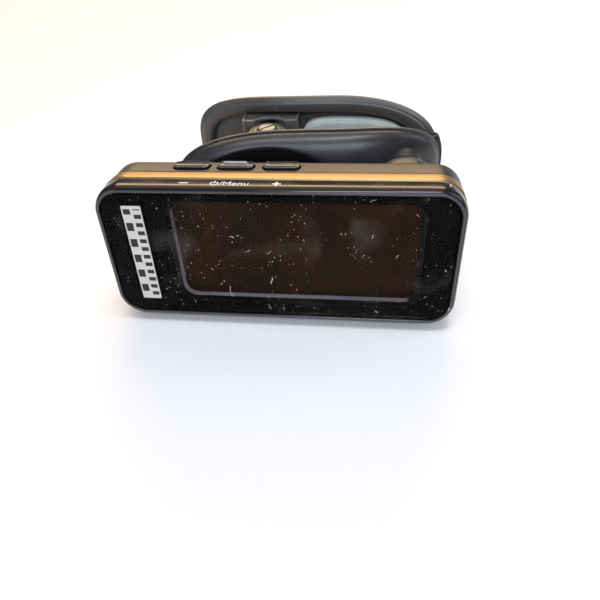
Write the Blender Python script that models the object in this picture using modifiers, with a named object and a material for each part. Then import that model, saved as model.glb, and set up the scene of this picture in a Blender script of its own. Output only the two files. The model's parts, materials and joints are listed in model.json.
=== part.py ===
"""Clip-on tuner: a display unit on a ball joint, held by a sprung clip with two dished jaws.

World axes: +X to the right of the display, +Y away from the display's face, +Z up.  The clip stands on
its lower edge and the display leans back against the same ground.  Sizes below are in millimetres and
are turned into metres where a mesh is made.
"""

import math

import bmesh
import bpy
import numpy as np

MM = 0.001
GAP = 0.3

# Display unit, in its own frame: x across, y back from the face, z up the face.
WIDTH, HEIGHT, DEPTH = 86.0, 36.5, 16.5
CORNER = 7.0
LEAN_DEG = 8.0
WALL = 1.5
BEZEL_BACK = 4.9
BAND_FRONT, BAND_BACK, BAND_PROUD = 5.2, 9.0, 0.15
REAR_FRONT, REAR_ROUND = 9.3, 2.0
LENS_INSET, LENS_FRONT, LENS_THICK = 1.75, 0.25, 1.2
WINDOW_X, WINDOW_Z, WINDOW_W, WINDOW_H, WINDOW_R = 4.0, 18.4, 58.6, 26.4, 3.0
LABEL_X, LABEL_Z, LABEL_W, LABEL_H, LABEL_T = -33.6, 18.7, 4.8, 26.2, 0.12
BOARD_FRONT, BOARD_THICK = 7.2, 1.0

# Buttons on the top wall.
BUTTON_X = {"minus": -21.4, "menu": -10.6, "plus": 0.4}
BUTTON_W, BUTTON_D, BUTTON_Y = 8.8, 3.5, 12.3
BUTTON_PROUD, BUTTON_TRAVEL = 0.8, 0.4
RIDGE_W, RIDGE_D, RIDGE = 6.0, 2.5, 0.55

# Coin cell and its door.
CELL_X, CELL_Z, CELL_R, CELL_T = -14.0, 17.5, 10.0, 3.2
DOOR_R, DOOR_T = 12.0, 1.5

# Screws that hold the rear housing.
SCREW_PLACES = ((-37.5, 6.0), (-37.5, 30.5), (38.0, 6.0), (14.5, 31.0))

# Ball joint.
BALL_X, BALL_Y, BALL_Z = 30.0, 18.5, 27.5
BALL_R, NECK_R = 4.5, 1.9
CUP_IN, CUP_OUT, CUP_OPEN_DEG = 4.8, 6.2, 48.0
SOCKET_IN, SOCKET_OUT, SOCKET_OPEN_DEG = 6.5, 8.6, 52.0
SOCKET_SPLIT = 0.6
STUD_LENGTH, SEAT_DEPTH, SEAT_FLOOR = 10.2, 3.2, 1.8

# Clip, in its own frame: x along the jaws from the hinge pin, y towards the rear jaw, z up.
PIN_X, PIN_Y, CLIP_YAW_DEG = -8.0, 45.8, 1.8
JAW_CX, JAW_A, JAW_B, JAW_POWER = 12.25, 36.25, 18.25, 3.5
JAW_POINTS = 48
RIM_WIDTH, RIM_THICK = 4.4, 1.6
FLOOR_DEPTH, FLOOR_THICK = 2.2, 1.0
COVER_DEPTH, COVER_WALL, COVER_INSET, COVER_EDGE = 9.0, 1.5, 0.5, 2.1
DOME_POWER = 2.2
SCOOP_X, SCOOP_A, SCOOP_B, SCOOP_DEPTH = 1.0, 24.0, 16.0, 3.0
PAD_CX, PAD_A, PAD_B, PAD_PROUD = 25.1, 16.0, 12.0, 0.4
LIP_REACH = 3
LUG_R, PIN_R, PIN_HOLE_R = 5.2, 1.5, 1.55
LUG_LOW, LUG_HIGH = 5.4, 29.1
LUG_THICK = 2.0
COIL_R, WIRE_R, COIL_TURNS = 3.2, 0.45, 7
COIL_LOW, COIL_HIGH = 11.4, 25.0
LEG_X = -16.6

# The display's lowest point touches the ground, and the whole part is centred over the origin.
LEAN = math.radians(LEAN_DEG)
DISPLAY_RAISE = (DEPTH - REAR_ROUND) * math.sin(LEAN) - REAR_ROUND * math.cos(LEAN) + REAR_ROUND
CENTRE_Y = 31.84


def fresh_scene():
    """Remove the scene's objects and make the collections."""
    for item in list(bpy.data.objects):
        bpy.data.objects.remove(item, do_unlink=True)
    made = []
    for name in ("clip_on_tuner", "cutters"):
        collection = bpy.data.collections.new(name)
        bpy.context.scene.collection.children.link(collection)
        made.append(collection)
    return made


PARTS, CUTTERS = fresh_scene()


def finish_of(name, colour, roughness, metallic=0.0):
    """A Principled material of one colour."""
    finish = bpy.data.materials.new(name)
    finish.use_nodes = True
    shader = finish.node_tree.nodes["Principled BSDF"]
    shader.inputs["Base Color"].default_value = (*colour, 1.0)
    shader.inputs["Roughness"].default_value = roughness
    shader.inputs["Metallic"].default_value = metallic
    finish.diffuse_color = (*colour, 1.0)
    return finish


FINISHES = {
    "satin_black": ((0.035, 0.035, 0.04), 0.42, 0.0),
    "gloss_black": ((0.012, 0.012, 0.014), 0.12, 0.0),
    "brown_black": ((0.07, 0.055, 0.045), 0.38, 0.0),
    "gold": ((0.62, 0.42, 0.16), 0.28, 1.0),
    "smoked": ((0.03, 0.03, 0.035), 0.05, 0.0),
    "panel": ((0.06, 0.045, 0.035), 0.3, 0.0),
    "white": ((0.8, 0.8, 0.78), 0.5, 0.0),
    "board": ((0.02, 0.16, 0.07), 0.5, 0.0),
    "chip": ((0.02, 0.02, 0.02), 0.6, 0.0),
    "steel": ((0.6, 0.6, 0.6), 0.25, 1.0),
    "brass": ((0.7, 0.52, 0.25), 0.3, 1.0),
    "nylon": ((0.3, 0.3, 0.3), 0.5, 0.0),
    "grey_rubber": ((0.42, 0.45, 0.43), 0.7, 0.0),
    "black_rubber": ((0.02, 0.02, 0.02), 0.6, 0.0),
}


def empty(name, location, rotation=(0.0, 0.0, 0.0), parent=None):
    """A frame that pieces are placed in."""
    frame = bpy.data.objects.new(name, None)
    PARTS.objects.link(frame)
    frame.parent = parent
    frame.location = [value * MM for value in location]
    frame.rotation_euler = rotation
    return frame


def add_mesh(name, points, faces, finish, parent, location=(0, 0, 0), rotation=(0, 0, 0), cutter=False):
    """A mesh object from points in millimetres; a cutter is hidden and kept apart."""
    mesh = bpy.data.meshes.new(name)
    mesh.from_pydata([tuple(c * MM for c in point) for point in points], [], faces)
    body = bmesh.new()
    body.from_mesh(mesh)
    bmesh.ops.recalc_face_normals(body, faces=body.faces)
    body.to_mesh(mesh)
    body.free()
    return place(name, mesh, finish, parent, location, rotation, cutter)


def place(name, mesh, finish, parent, location=(0, 0, 0), rotation=(0, 0, 0), cutter=False):
    """Put a mesh or a curve in the scene under its frame."""
    item = bpy.data.objects.new(name, mesh)
    item.parent = parent
    item.location = [value * MM for value in location]
    item.rotation_euler = rotation
    if cutter:
        CUTTERS.objects.link(item)
        item.hide_render = True
        item.display_type = "WIRE"
        return item
    PARTS.objects.link(item)
    mesh.materials.append(finish_of(name, *FINISHES[finish]))
    return item


def combine(target, tool, operation="DIFFERENCE"):
    """Cut a tool out of a piece, or join it on."""
    modifier = target.modifiers.new(operation.lower(), "BOOLEAN")
    modifier.operation = operation
    modifier.solver = "EXACT"
    modifier.object = tool


def loft_faces(rings, count, closed):
    """Quads between successive rings of equal length, with each end capped unless the loft is closed."""
    faces = []
    last = rings if closed else rings - 1
    for row in range(last):
        here, there = row * count, ((row + 1) % rings) * count
        for i in range(count):
            j = (i + 1) % count
            faces.append((here + i, here + j, there + j, there + i))
    return faces


def strip_cap(start, count):
    """Close a ring whose halves mirror each other, point i facing point count - i."""
    faces = [(start, start + 1, start + count - 1)]
    for i in range(1, count // 2 - 1):
        faces.append((start + i, start + i + 1, start + count - i - 1, start + count - i))
    middle = count // 2
    faces.append((start + middle - 1, start + middle, start + middle + 1))
    return faces


def loft(name, rings, finish, parent, closed=False, cap="flat", **placing):
    """One closed solid through a list of rings."""
    count = len(rings[0])
    points = [point for ring in rings for point in ring]
    faces = loft_faces(len(rings), count, closed)
    if not closed:
        end = (len(rings) - 1) * count
        if cap == "flat":
            faces += [tuple(range(count)), tuple(range(end, end + count))]
        else:
            faces += strip_cap(0, count) + strip_cap(end, count)
    return add_mesh(name, points, faces, finish, parent, **placing)


def rounded_outline(width, height, radius, centre=(0.0, 0.0), steps=5):
    """Corner arcs of a rounded rectangle, anticlockwise in its own plane."""
    outline = []
    for turn, (sx, sz) in enumerate(((1, 1), (-1, 1), (-1, -1), (1, -1))):
        for step in range(steps + 1):
            angle = math.pi / 2 * (turn + step / steps)
            outline.append((
                centre[0] + sx * (width / 2 - radius) + radius * math.cos(angle),
                centre[1] + sz * (height / 2 - radius) + radius * math.sin(angle),
            ))
    return outline


def housing_ring(inset, y):
    """The display's outline drawn in by an inset, at a depth behind the face."""
    outline = rounded_outline(WIDTH - 2 * inset, HEIGHT - 2 * inset, CORNER - inset, (0.0, HEIGHT / 2))
    return [(x, y, z) for x, z in outline]


def block(name, size, centre, radius, finish, parent, steps=3, **placing):
    """A rounded block: its outline lies in x and z, and its thickness along y."""
    outline = rounded_outline(size[0], size[2], radius, (centre[0], centre[2]), steps)
    rings = [[(x, y, z) for x, z in outline] for y in (centre[1] - size[1] / 2, centre[1] + size[1] / 2)]
    return loft(name, rings, finish, parent, **placing)


def turned(name, profile, finish, parent, location, rotation=(0, 0, 0), closed=False, steps=24, cutter=False):
    """A profile of (radius, height) points spun about its own Z axis."""
    mesh = bpy.data.meshes.new(name)
    edges = [(i, i + 1) for i in range(len(profile) - 1)]
    if closed:
        edges.append((len(profile) - 1, 0))
    mesh.from_pydata([(r * MM, 0.0, z * MM) for r, z in profile], edges, [])
    item = place(name, mesh, finish, parent, location, rotation, cutter)
    screw = item.modifiers.new("turn", "SCREW")
    screw.steps = screw.render_steps = steps
    screw.use_merge_vertices = True
    screw.merge_threshold = 0.00001
    return item


def arc(radius, start_deg, end_deg, steps=8, centre=(0.0, 0.0)):
    """Points along a circular arc."""
    angles = np.radians(np.linspace(start_deg, end_deg, steps + 1))
    return [(centre[0] + radius * math.cos(a), centre[1] + radius * math.sin(a)) for a in angles]


def flat_solid(name, loops, low, high, finish, parent, cutter=False):
    """A flat outline in x and y, with any holes as further loops, raised from low to high."""
    curve = bpy.data.curves.new(name, "CURVE")
    curve.dimensions = "2D"
    curve.fill_mode = "BOTH"
    curve.extrude = (high - low) / 2 * MM
    for loop in loops:
        spline = curve.splines.new("POLY")
        spline.points.add(len(loop) - 1)
        for point, (x, y) in zip(spline.points, loop):
            point.co = (x * MM, y * MM, 0.0, 1.0)
        spline.use_cyclic_u = True
    source = bpy.data.objects.new(name + "_outline", curve)
    CUTTERS.objects.link(source)
    bpy.context.view_layer.update()
    mesh = bpy.data.meshes.new_from_object(source.evaluated_get(bpy.context.evaluated_depsgraph_get()))
    bpy.data.objects.remove(source)
    body = bmesh.new()
    body.from_mesh(mesh)
    bmesh.ops.remove_doubles(body, verts=body.verts, dist=0.00001)
    bmesh.ops.recalc_face_normals(body, faces=body.faces)
    body.to_mesh(mesh)
    body.free()
    mesh.materials.clear()
    return place(name, mesh, finish, parent, (0, 0, (low + high) / 2), cutter=cutter)


def wire(name, points, radius, finish, parent):
    """A round wire through a list of points, with closed ends."""
    curve = bpy.data.curves.new(name, "CURVE")
    curve.dimensions = "3D"
    curve.bevel_depth = radius * MM
    curve.bevel_resolution = 1
    curve.use_fill_caps = True
    spline = curve.splines.new("POLY")
    spline.points.add(len(points) - 1)
    for point, co in zip(spline.points, points):
        point.co = (*(c * MM for c in co), 1.0)
    return place(name, curve, finish, parent)


# ---------------------------------------------------------------- display unit


def front_bezel(display):
    """Ring round the lens: a rounded outer edge, a thin lip in front and a ledge behind the lens."""
    section = [(0.0, BEZEL_BACK), (0.0, 2.4), (0.2, 1.3), (0.7, 0.45), (1.15, 0.05), (LENS_INSET - GAP, 0.3)]
    ledge = LENS_FRONT + LENS_THICK + GAP
    section += [(LENS_INSET - GAP, ledge), (3.2, ledge), (3.2, ledge + 0.8), (WALL, ledge + 0.8), (WALL, BEZEL_BACK)]
    return loft("front_bezel", [housing_ring(*pair) for pair in section], "satin_black", display, closed=True)


def front_lens(display):
    """Smoked cover plate with a small chamfer at its front edge."""
    back = LENS_FRONT + LENS_THICK
    section = [(LENS_INSET, back), (LENS_INSET, LENS_FRONT + 0.2), (LENS_INSET + 0.2, LENS_FRONT)]
    return loft("front_lens", [housing_ring(*pair) for pair in section], "smoked", display)


def window_ring(grow, y):
    """The display window's outline, let out by an amount, at a depth."""
    outline = rounded_outline(
        WINDOW_W + 2 * grow, WINDOW_H + 2 * grow, WINDOW_R + grow, (WINDOW_X, WINDOW_Z)
    )
    return [(x, y, z) for x, z in outline]


def lcd_bezel(display):
    """Black mask behind the lens, with a bevelled window."""
    front, back = 3.6, 4.6
    rings = [window_ring(3.0, back), window_ring(3.0, front), window_ring(0.9, front), window_ring(0.0, back)]
    return loft("lcd_bezel", rings, "gloss_black", display, closed=True)


def lcd_module(display):
    """Liquid crystal panel, its backlight and the conductive strip down to the board."""
    x, z = WINDOW_X, WINDOW_Z
    block("lcd_panel", (62.0, 0.9, 29.6), (x, 5.35, z), 0.6, "panel", display)
    block("backlight", (60.0, 0.7, 27.5), (x, 6.45, z), 0.8, "white", display)
    block("lcd_connector", (40.0, 1.0, 1.4), (x, 6.35, 2.8), 0.2, "black_rubber", display)


def trim_band(display):
    """Gold ring between the bezel and the rear housing, standing a little proud."""
    proud = -BAND_PROUD
    section = [
        (WALL + 0.3, BAND_BACK), (0.25, BAND_BACK), (proud, BAND_BACK - 0.3), (proud, BAND_FRONT + 0.3),
        (0.25, BAND_FRONT), (WALL + 0.3, BAND_FRONT),
    ]
    return loft("trim_band", [housing_ring(*pair) for pair in section], "gold", display, closed=True)


def rear_housing(display):
    """Rear shell with button slots, the cell door's hole, screw holes and half of the ball socket."""
    inner_wall = DEPTH - WALL
    section = [(5.0, inner_wall), (WALL + 0.5, inner_wall), (WALL, inner_wall - 0.5), (WALL, REAR_FRONT)]
    section += [(0.0, REAR_FRONT), (0.0, DEPTH - REAR_ROUND)]
    for step in range(1, 5):
        angle = math.pi / 2 * step / 4
        section.append((REAR_ROUND * (1 - math.cos(angle)), DEPTH - REAR_ROUND * (1 - math.sin(angle))))
    shell = loft("rear_housing", [housing_ring(*pair) for pair in section], "satin_black", display)
    back_axis = (-math.pi / 2, 0, 0)
    for name, x in BUTTON_X.items():
        slot = block(
            name + "_slot", (BUTTON_W + 2 * GAP, 6.0, BUTTON_D + 2 * GAP), (0, 0, 0), 1.6, None, display,
            location=(x, BUTTON_Y, HEIGHT), rotation=back_axis, cutter=True,
        )
        combine(shell, slot)
    door_hole = turned(
        "door_hole", [(0, 4), (DOOR_R + GAP, 4), (DOOR_R + GAP, -4), (0, -4)], None, display,
        (CELL_X, DEPTH, CELL_Z), back_axis, cutter=True,
    )
    combine(shell, door_hole)
    boss = turned(
        "socket_boss",
        [(0, SOCKET_SPLIT - GAP / 2), (SOCKET_OUT, SOCKET_SPLIT - GAP / 2)]
        + [(r, z) for r, z in arc(SOCKET_OUT, 0, -62)] + [(0, -SOCKET_OUT * math.sin(math.radians(62)))],
        None, display, (BALL_X, BALL_Y, BALL_Z), back_axis, cutter=True,
    )
    combine(shell, boss, "UNION")
    hollow = turned(
        "socket_hollow", [(0, 3)] + [(SOCKET_IN, 3)] + arc(SOCKET_IN, 0, -90),
        None, display, (BALL_X, BALL_Y, BALL_Z), back_axis, cutter=True,
    )
    combine(shell, hollow)
    for x, z in SCREW_PLACES:
        hole = turned(
            "screw_hole", [(0, 3), (2.2, 3), (2.2, 0), (1.3, 0), (1.3, -4), (0, -4)], None, display,
            (x, DEPTH - 1.0, z), back_axis, cutter=True, steps=12,
        )
        combine(shell, hole)
    return shell


def housing_screws(display):
    """Cross-head screws sunk in the rear wall."""
    for number, (x, z) in enumerate(SCREW_PLACES, 1):
        head = [(0, 0.9), (1.5, 0.9), (1.9, 0.6), (1.9, GAP), (0.9, GAP - 0.1), (0.9, -6.0), (0, -6.0)]
        screw = turned(
            f"housing_screw_{number}", head, "steel", display, (x, DEPTH - 1.0, z), (-math.pi / 2, 0, 0), steps=12
        )
        for axis, size in (("x", (1.9, 0.45, 1.0)), ("y", (0.45, 1.9, 1.0))):
            slot = block(
                f"cross_{axis}", (size[0], size[2], size[1]), (0, 0, 0), 0.1, None, display, 1,
                location=(x, DEPTH - 0.1, z), cutter=True,
            )
            combine(screw, slot)


def electronics(display):
    """Circuit board with its parts, the vibration sensor, and the cell with its contacts."""
    middle = BOARD_FRONT + BOARD_THICK / 2
    rear = BOARD_FRONT + BOARD_THICK
    block("circuit_board", (78.0, BOARD_THICK, 31.5), (0, middle, HEIGHT / 2), 6.0, "board", display)
    block("microcontroller", (9.0, 1.2, 9.0), (8.5, rear + 0.6 + GAP, 14.0), 0.3, "chip", display)
    for name, x in BUTTON_X.items():
        switch_top = HEIGHT - WALL - 0.6 - GAP - BUTTON_TRAVEL - 0.4
        switch = (x, BUTTON_Y - 0.6, switch_top - 1.4)
        block(name + "_switch", (4.6, 4.4, 2.8), switch, 0.3, "chip", display)
    sensor = [(0, 0.25), (6.0, 0.25), (6.0, -0.25), (0, -0.25)]
    turned("piezo_sensor", sensor, "brass", display, (24.0, rear + 0.55, 9.5), (-math.pi / 2, 0, 0), steps=24)
    cell = [(0, 1.6), (8.6, 1.6), (8.6, 1.35), (9.7, 1.35), (CELL_R, 1.0), (CELL_R, -1.4), (9.8, -1.6), (0, -1.6)]
    cell_y = DEPTH - DOOR_T - 0.4 - CELL_T / 2
    turned("coin_cell", cell, "steel", display, (CELL_X, cell_y, CELL_Z), (-math.pi / 2, 0, 0), steps=32)
    front = cell_y - CELL_T / 2
    block("negative_contact", (7.0, 0.4, 3.0), (CELL_X, front - 0.5, CELL_Z), 0.8, "brass", display)
    block("positive_contact", (0.5, 2.6, 4.0), (CELL_X + CELL_R + 0.6, cell_y, CELL_Z), 0.1, "brass", display)


def battery_door(display):
    """Round door turned with a coin, flush in the rear wall."""
    profile = [(0, 0), (DOOR_R - 0.3, 0), (DOOR_R, -0.3), (DOOR_R, -DOOR_T), (0, -DOOR_T)]
    door = turned(
        "battery_door", profile, "satin_black", display, (CELL_X, DEPTH, CELL_Z), (-math.pi / 2, 0, 0), steps=36
    )
    slot = block(
        "coin_slot", (15.0, 1.6, 2.0), (0, 0, 0), 0.99, None, display,
        location=(CELL_X, DEPTH, CELL_Z), cutter=True,
    )
    combine(door, slot)


def button(name, x, display):
    """Push button: a rounded cap on a wider skirt; the menu button has an oval ridge to find it by."""
    skirt_top = HEIGHT - WALL - GAP
    rings = []
    for grow, z in (
        (0.4, skirt_top - 0.6), (0.4, skirt_top), (0.0, skirt_top), (0.0, HEIGHT + BUTTON_PROUD - 0.4),
        (-0.12, HEIGHT + BUTTON_PROUD - 0.12), (-0.45, HEIGHT + BUTTON_PROUD),
    ):
        outline = rounded_outline(BUTTON_W + 2 * grow, BUTTON_D + 2 * grow, 1.4 + grow, (0.0, 0.0), 4)
        rings.append([(px, py, z) for px, py in outline])
    cap = loft(name + "_button", rings, "satin_black", display, location=(x, BUTTON_Y, 0))
    if name == "menu":
        top = HEIGHT + BUTTON_PROUD
        rings = []
        for inset, z in ((0.0, top - 0.3), (0.15, top + RIDGE), (0.4, top + RIDGE), (0.55, top - 0.3)):
            outline = rounded_outline(RIDGE_W - 2 * inset, RIDGE_D - 2 * inset, RIDGE_D / 2 - inset - 0.01, (0.0, 0.0), 4)
            rings.append([(px, py, z) for px, py in outline])
        ridge = loft("menu_ridge", rings, None, display, closed=True, location=(x, BUTTON_Y, 0), cutter=True)
        combine(cap, ridge, "UNION")


def display_unit(display):
    """Everything that tilts with the display."""
    front_bezel(display)
    front_lens(display)
    lcd_bezel(display)
    lcd_module(display)
    trim_band(display)
    rear_housing(display)
    housing_screws(display)
    electronics(display)
    battery_door(display)
    for name, x in BUTTON_X.items():
        button(name, x, display)
    block(
        "label_plate", (LABEL_W, LABEL_T, LABEL_H), (LABEL_X, LENS_FRONT - LABEL_T / 2 - 0.02, LABEL_Z), 0.2,
        "white", display,
    )


# ------------------------------------------------------------------ ball joint


def ball_joint(display, ball_frame):
    """Socket cap and friction cup round the ball, whose stud turns on a screw in the front jaw."""
    back_axis = (-math.pi / 2, 0, 0)
    lip = 90 - SOCKET_OPEN_DEG
    inner = arc(SOCKET_IN, lip, math.degrees(math.asin(SOCKET_SPLIT / SOCKET_IN)) + 1.4)
    outer = arc(SOCKET_OUT, math.degrees(math.asin(SOCKET_SPLIT / SOCKET_OUT)) + 1.0, lip)
    turned(
        "socket_cap", outer[::-1] + inner[::-1], "brown_black", display, (BALL_X, BALL_Y, BALL_Z), back_axis,
        closed=True,
    )
    lip = 90 - CUP_OPEN_DEG
    turned(
        "friction_cup", arc(CUP_IN, -90, lip, 8) + arc(CUP_OUT, lip, -90, 8), "nylon", display,
        (BALL_X, BALL_Y, BALL_Z), back_axis,
    )
    neck = math.degrees(math.acos(NECK_R / BALL_R))
    flange = STUD_LENGTH - 1.5
    profile = [(0, STUD_LENGTH), (3.6, STUD_LENGTH), (3.6, flange), (NECK_R, flange - 0.6)]
    profile += arc(BALL_R, neck, -90, 10)
    stud = turned("ball_stud", profile, "steel", ball_frame, (0, 0, 0), back_axis)
    bore = turned(
        "stud_bore", [(0, STUD_LENGTH + 1), (0.95, STUD_LENGTH + 1), (0.95, STUD_LENGTH - 4.5), (0, STUD_LENGTH - 4.5)],
        None, ball_frame, (0, 0, 0), back_axis, cutter=True, steps=16,
    )
    combine(stud, bore)
    top = STUD_LENGTH + GAP + SEAT_FLOOR + GAP
    screw = [(0, top + 1.2), (1.9, top + 1.2), (1.9, top), (0.85, top), (0.85, STUD_LENGTH - 4.2), (0, STUD_LENGTH - 4.2)]
    turned("stud_screw", screw, "steel", ball_frame, (0, 0, 0), back_axis, steps=16)


# ------------------------------------------------------------------------ clip


def rim_offset(x):
    """Distance of a jaw's rim from the clip's middle plane: bowed at the jaws, splayed at the handles."""
    splay = 0.1 * (np.sqrt(x * x + 36.0) - x)
    close = 7.5 * (np.maximum(x - 18.0, 0.0) / 30.5) ** 2
    return 8.6 + splay - close


def jaw_outline(inset):
    """Superellipse outline of a jaw at an inset, as evenly spaced points that mirror about mid height."""
    half_length, half_height = JAW_A - inset, JAW_B - inset
    angle = np.linspace(0.0, math.pi, 721)
    power = 2.0 / JAW_POWER
    x = JAW_CX + half_length * np.sign(np.cos(angle)) * np.abs(np.cos(angle)) ** power
    z = half_height * np.sin(angle) ** power
    length = np.concatenate([[0.0], np.cumsum(np.hypot(np.diff(x), np.diff(z)))])
    even = np.linspace(0.0, length[-1], JAW_POINTS // 2 + 1)
    x, z = np.interp(even, length, x), np.interp(even, length, z)
    z[0] = z[-1] = 0.0
    return np.concatenate([x, x[-2:0:-1]]), JAW_B + np.concatenate([z, -z[-2:0:-1]])


def jaw_ring(side, inset, depth):
    """A ring on a jaw; the depth is measured outwards from the rim and may vary over the ring."""
    x, z = jaw_outline(inset)
    away = depth(x, z) if callable(depth) else depth
    y = side * (rim_offset(x) + away)
    return list(zip(x, np.broadcast_to(y, x.shape), z))


def dome(x, z, wall=0.0):
    """Depth of the cover's outside, less a wall: a dome with a shallow oval scoop at the handle."""
    u = np.abs(x - JAW_CX) / (JAW_A - COVER_INSET)
    v = np.abs(z - JAW_B) / (JAW_B - COVER_INSET)
    radius = np.minimum((u ** JAW_POWER + v ** JAW_POWER) ** (1 / JAW_POWER), 1.0)
    rise = (COVER_DEPTH - COVER_EDGE) * (1 - radius ** DOME_POWER) ** (1 / DOME_POWER)
    oval = ((x - SCOOP_X) / SCOOP_A) ** 2 + ((z - JAW_B) / SCOOP_B) ** 2
    return COVER_EDGE + rise - SCOOP_DEPTH * np.maximum(1 - oval, 0.0) - wall


def jaw_cover(name, side, clip):
    """Outer shell of a jaw: an even wall that follows the dome."""
    insets = (1.6, 3.0, 5.2, 8.0, 11.5, 15.0)
    inner = [jaw_ring(side, k + COVER_WALL * 0.6, lambda x, z: dome(x, z, COVER_WALL)) for k in insets[::-1]]
    edge = [jaw_ring(side, COVER_INSET + COVER_WALL, COVER_EDGE), jaw_ring(side, COVER_INSET, COVER_EDGE)]
    outer = [jaw_ring(side, k, dome) for k in (COVER_INSET + 0.35,) + insets]
    return loft(name, inner + edge + outer, "satin_black", clip, cap="strip")


def jaw_frame(name, side, clip):
    """Inner frame of a jaw: a wide flat rim round a shallow tray."""
    floor_edge = RIM_WIDTH + 0.6
    back = FLOOR_DEPTH + FLOOR_THICK
    rings = [jaw_ring(side, k, FLOOR_DEPTH) for k in (15.0, 10.0, floor_edge)]
    rings += [jaw_ring(side, RIM_WIDTH, 0.3), jaw_ring(side, RIM_WIDTH - 0.4, 0.0), jaw_ring(side, 0.5, 0.0)]
    rings += [jaw_ring(side, 0.0, 0.45), jaw_ring(side, 0.0, RIM_THICK)]
    rings += [jaw_ring(side, RIM_WIDTH - FLOOR_THICK, RIM_THICK)]
    rings += [jaw_ring(side, k, back) for k in (floor_edge - 0.4, 10.0, 15.0)]
    return loft(name, rings, "brown_black", clip, cap="strip")


def pin_hole():
    """Loop for the hinge pin's hole."""
    return arc(PIN_HOLE_R, 0, -360, 24)[:-1]


def tongue(side, base):
    """Lug outline: straight sides from the tray to a round end about the pin."""
    end = arc(LUG_R, 0, 180, 12) if side < 0 else arc(LUG_R, 180, 360, 12)
    if side < 0:
        return [(-LUG_R, -base), (LUG_R, -base)] + end
    return [(LUG_R, base), (-LUG_R, base)] + end


def front_lugs(frame, clip):
    """Two lugs that carry the pin, at the top and the bottom of the front frame."""
    for low in (LUG_LOW, LUG_HIGH):
        lug = flat_solid("front_lug", [tongue(-1, 12.6), pin_hole()], low, low + LUG_THICK, None, clip, cutter=True)
        combine(frame, lug, "UNION")


def rear_lugs(frame, clip):
    """Two lugs inside the front ones, and a plate above that is hollowed round the front lug."""
    for low in (LUG_LOW + LUG_THICK + GAP, LUG_HIGH - LUG_THICK - GAP):
        lug = flat_solid("rear_lug", [tongue(1, 12.6), pin_hole()], low, low + LUG_THICK, None, clip, cutter=True)
        combine(frame, lug, "UNION")
    hollow_r, edge_y = LUG_R + 1.0, 4.4
    start = 180 - math.degrees(math.asin(edge_y / hollow_r))
    outline = [(-8.0, 13.5), (-8.0, edge_y)] + arc(hollow_r, start, 180 - start, 10) + [(8.2, edge_y), (8.7, 12.2)]
    for low in (LUG_LOW - 1.0, LUG_HIGH - 0.6):
        plate = flat_solid("rear_plate", [outline], low, low + LUG_THICK + 1.6, None, clip, cutter=True)
        combine(frame, plate, "UNION")


def pocket(frame, side, z, clip):
    """Opening in the tray behind a handle, beside the spring's leg."""
    opening = block(
        "handle_pocket", (9.0, 8.0, 10.0), (-14.5, side * 15.5, z), 2.5, None, clip, cutter=True
    )
    combine(frame, opening)


def grip_pad(name, side, clip):
    """Rubber pad in the jaw's tray, standing proud of the rim."""
    angle = np.linspace(0, 2 * math.pi, 33)[:-1]
    power = 2.0 / 3.4
    across = np.sign(np.cos(angle)) * np.abs(np.cos(angle)) ** power
    up = np.sign(np.sin(angle)) * np.abs(np.sin(angle)) ** power
    rings = []
    for inset, depth in (
        (9.0, FLOOR_DEPTH - GAP), (0.0, FLOOR_DEPTH - GAP), (0.0, 0.2), (1.3, -PAD_PROUD), (6.0, -PAD_PROUD),
        (9.0, -PAD_PROUD),
    ):
        x = PAD_CX + (PAD_A - inset) * across
        z = JAW_B + (PAD_B - inset) * up
        rings.append(list(zip(x, side * (rim_offset(x) + depth), z)))
    return loft(name, rings, "grey_rubber", clip, cap="strip")


def tip_lip(name, side, clip):
    """Black rubber lip round the jaw's tip, which meets the other jaw's lip."""
    ring_x, ring_z = jaw_outline(-0.9)
    inner_x, inner_z = jaw_outline(3.2)
    picked = [i % JAW_POINTS for i in range(-LIP_REACH, LIP_REACH + 1)]
    rings = []
    for i in picked:
        rings.append([
            (ring_x[i], side * (rim_offset(ring_x[i]) - GAP), ring_z[i]),
            (ring_x[i], side * 0.25, ring_z[i]),
            (inner_x[i], side * 0.25, inner_z[i]),
            (inner_x[i], side * (rim_offset(inner_x[i]) - GAP), inner_z[i]),
        ])
    return loft(name, rings, "black_rubber", clip)


def tangent_angle(x, y):
    """Angle on the spring's coil where a straight leg to (x, y) leaves it."""
    return math.degrees(math.atan2(y, x) - math.acos(COIL_R / math.hypot(x, y)))


def torsion_spring(clip):
    """Coil round the pin with one leg on the front handle; the other leg moves with the rear handle."""
    reach = rim_offset(np.array(LEG_X)) + FLOOR_DEPTH - WIRE_R - 2 * GAP
    end = tangent_angle(LEG_X, -reach) % 360
    start, stop = -end, end + 360 * COIL_TURNS
    angles = np.radians(np.linspace(start, stop, 12 * COIL_TURNS + 1))
    heights = np.linspace(COIL_LOW, COIL_HIGH, len(angles))
    coil = [(COIL_R * math.cos(a), COIL_R * math.sin(a), z) for a, z in zip(angles, heights)]
    wire("torsion_spring", coil + [(LEG_X, -reach, COIL_HIGH)], WIRE_R, "steel", clip)
    low = COIL_LOW - 2 * WIRE_R - 0.1
    wire("spring_leg", [(*coil[0][:2], low), (LEG_X, reach, low)], WIRE_R, "steel", clip)


def hinge(clip):
    """Headed pin through both frames' lugs, and the washer that it is riveted over."""
    head = LUG_HIGH + LUG_THICK + GAP
    profile = [(0, head + 0.9), (2.2, head + 0.9), (2.7, head + 0.5), (2.7, head), (PIN_R, head)]
    profile += [(PIN_R, LUG_LOW - 1.4), (0, LUG_LOW - 1.4)]
    turned("hinge_pin", profile, "steel", clip, (0, 0, 0), steps=24)
    high, low = LUG_LOW - GAP, LUG_LOW - GAP - 0.8
    ring = [(2.9, high), (2.9, low), (PIN_R + 0.05, low), (PIN_R + 0.05, high)]
    turned("pin_washer", ring, "steel", clip, (0, 0, 0), closed=True, steps=24)


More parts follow.
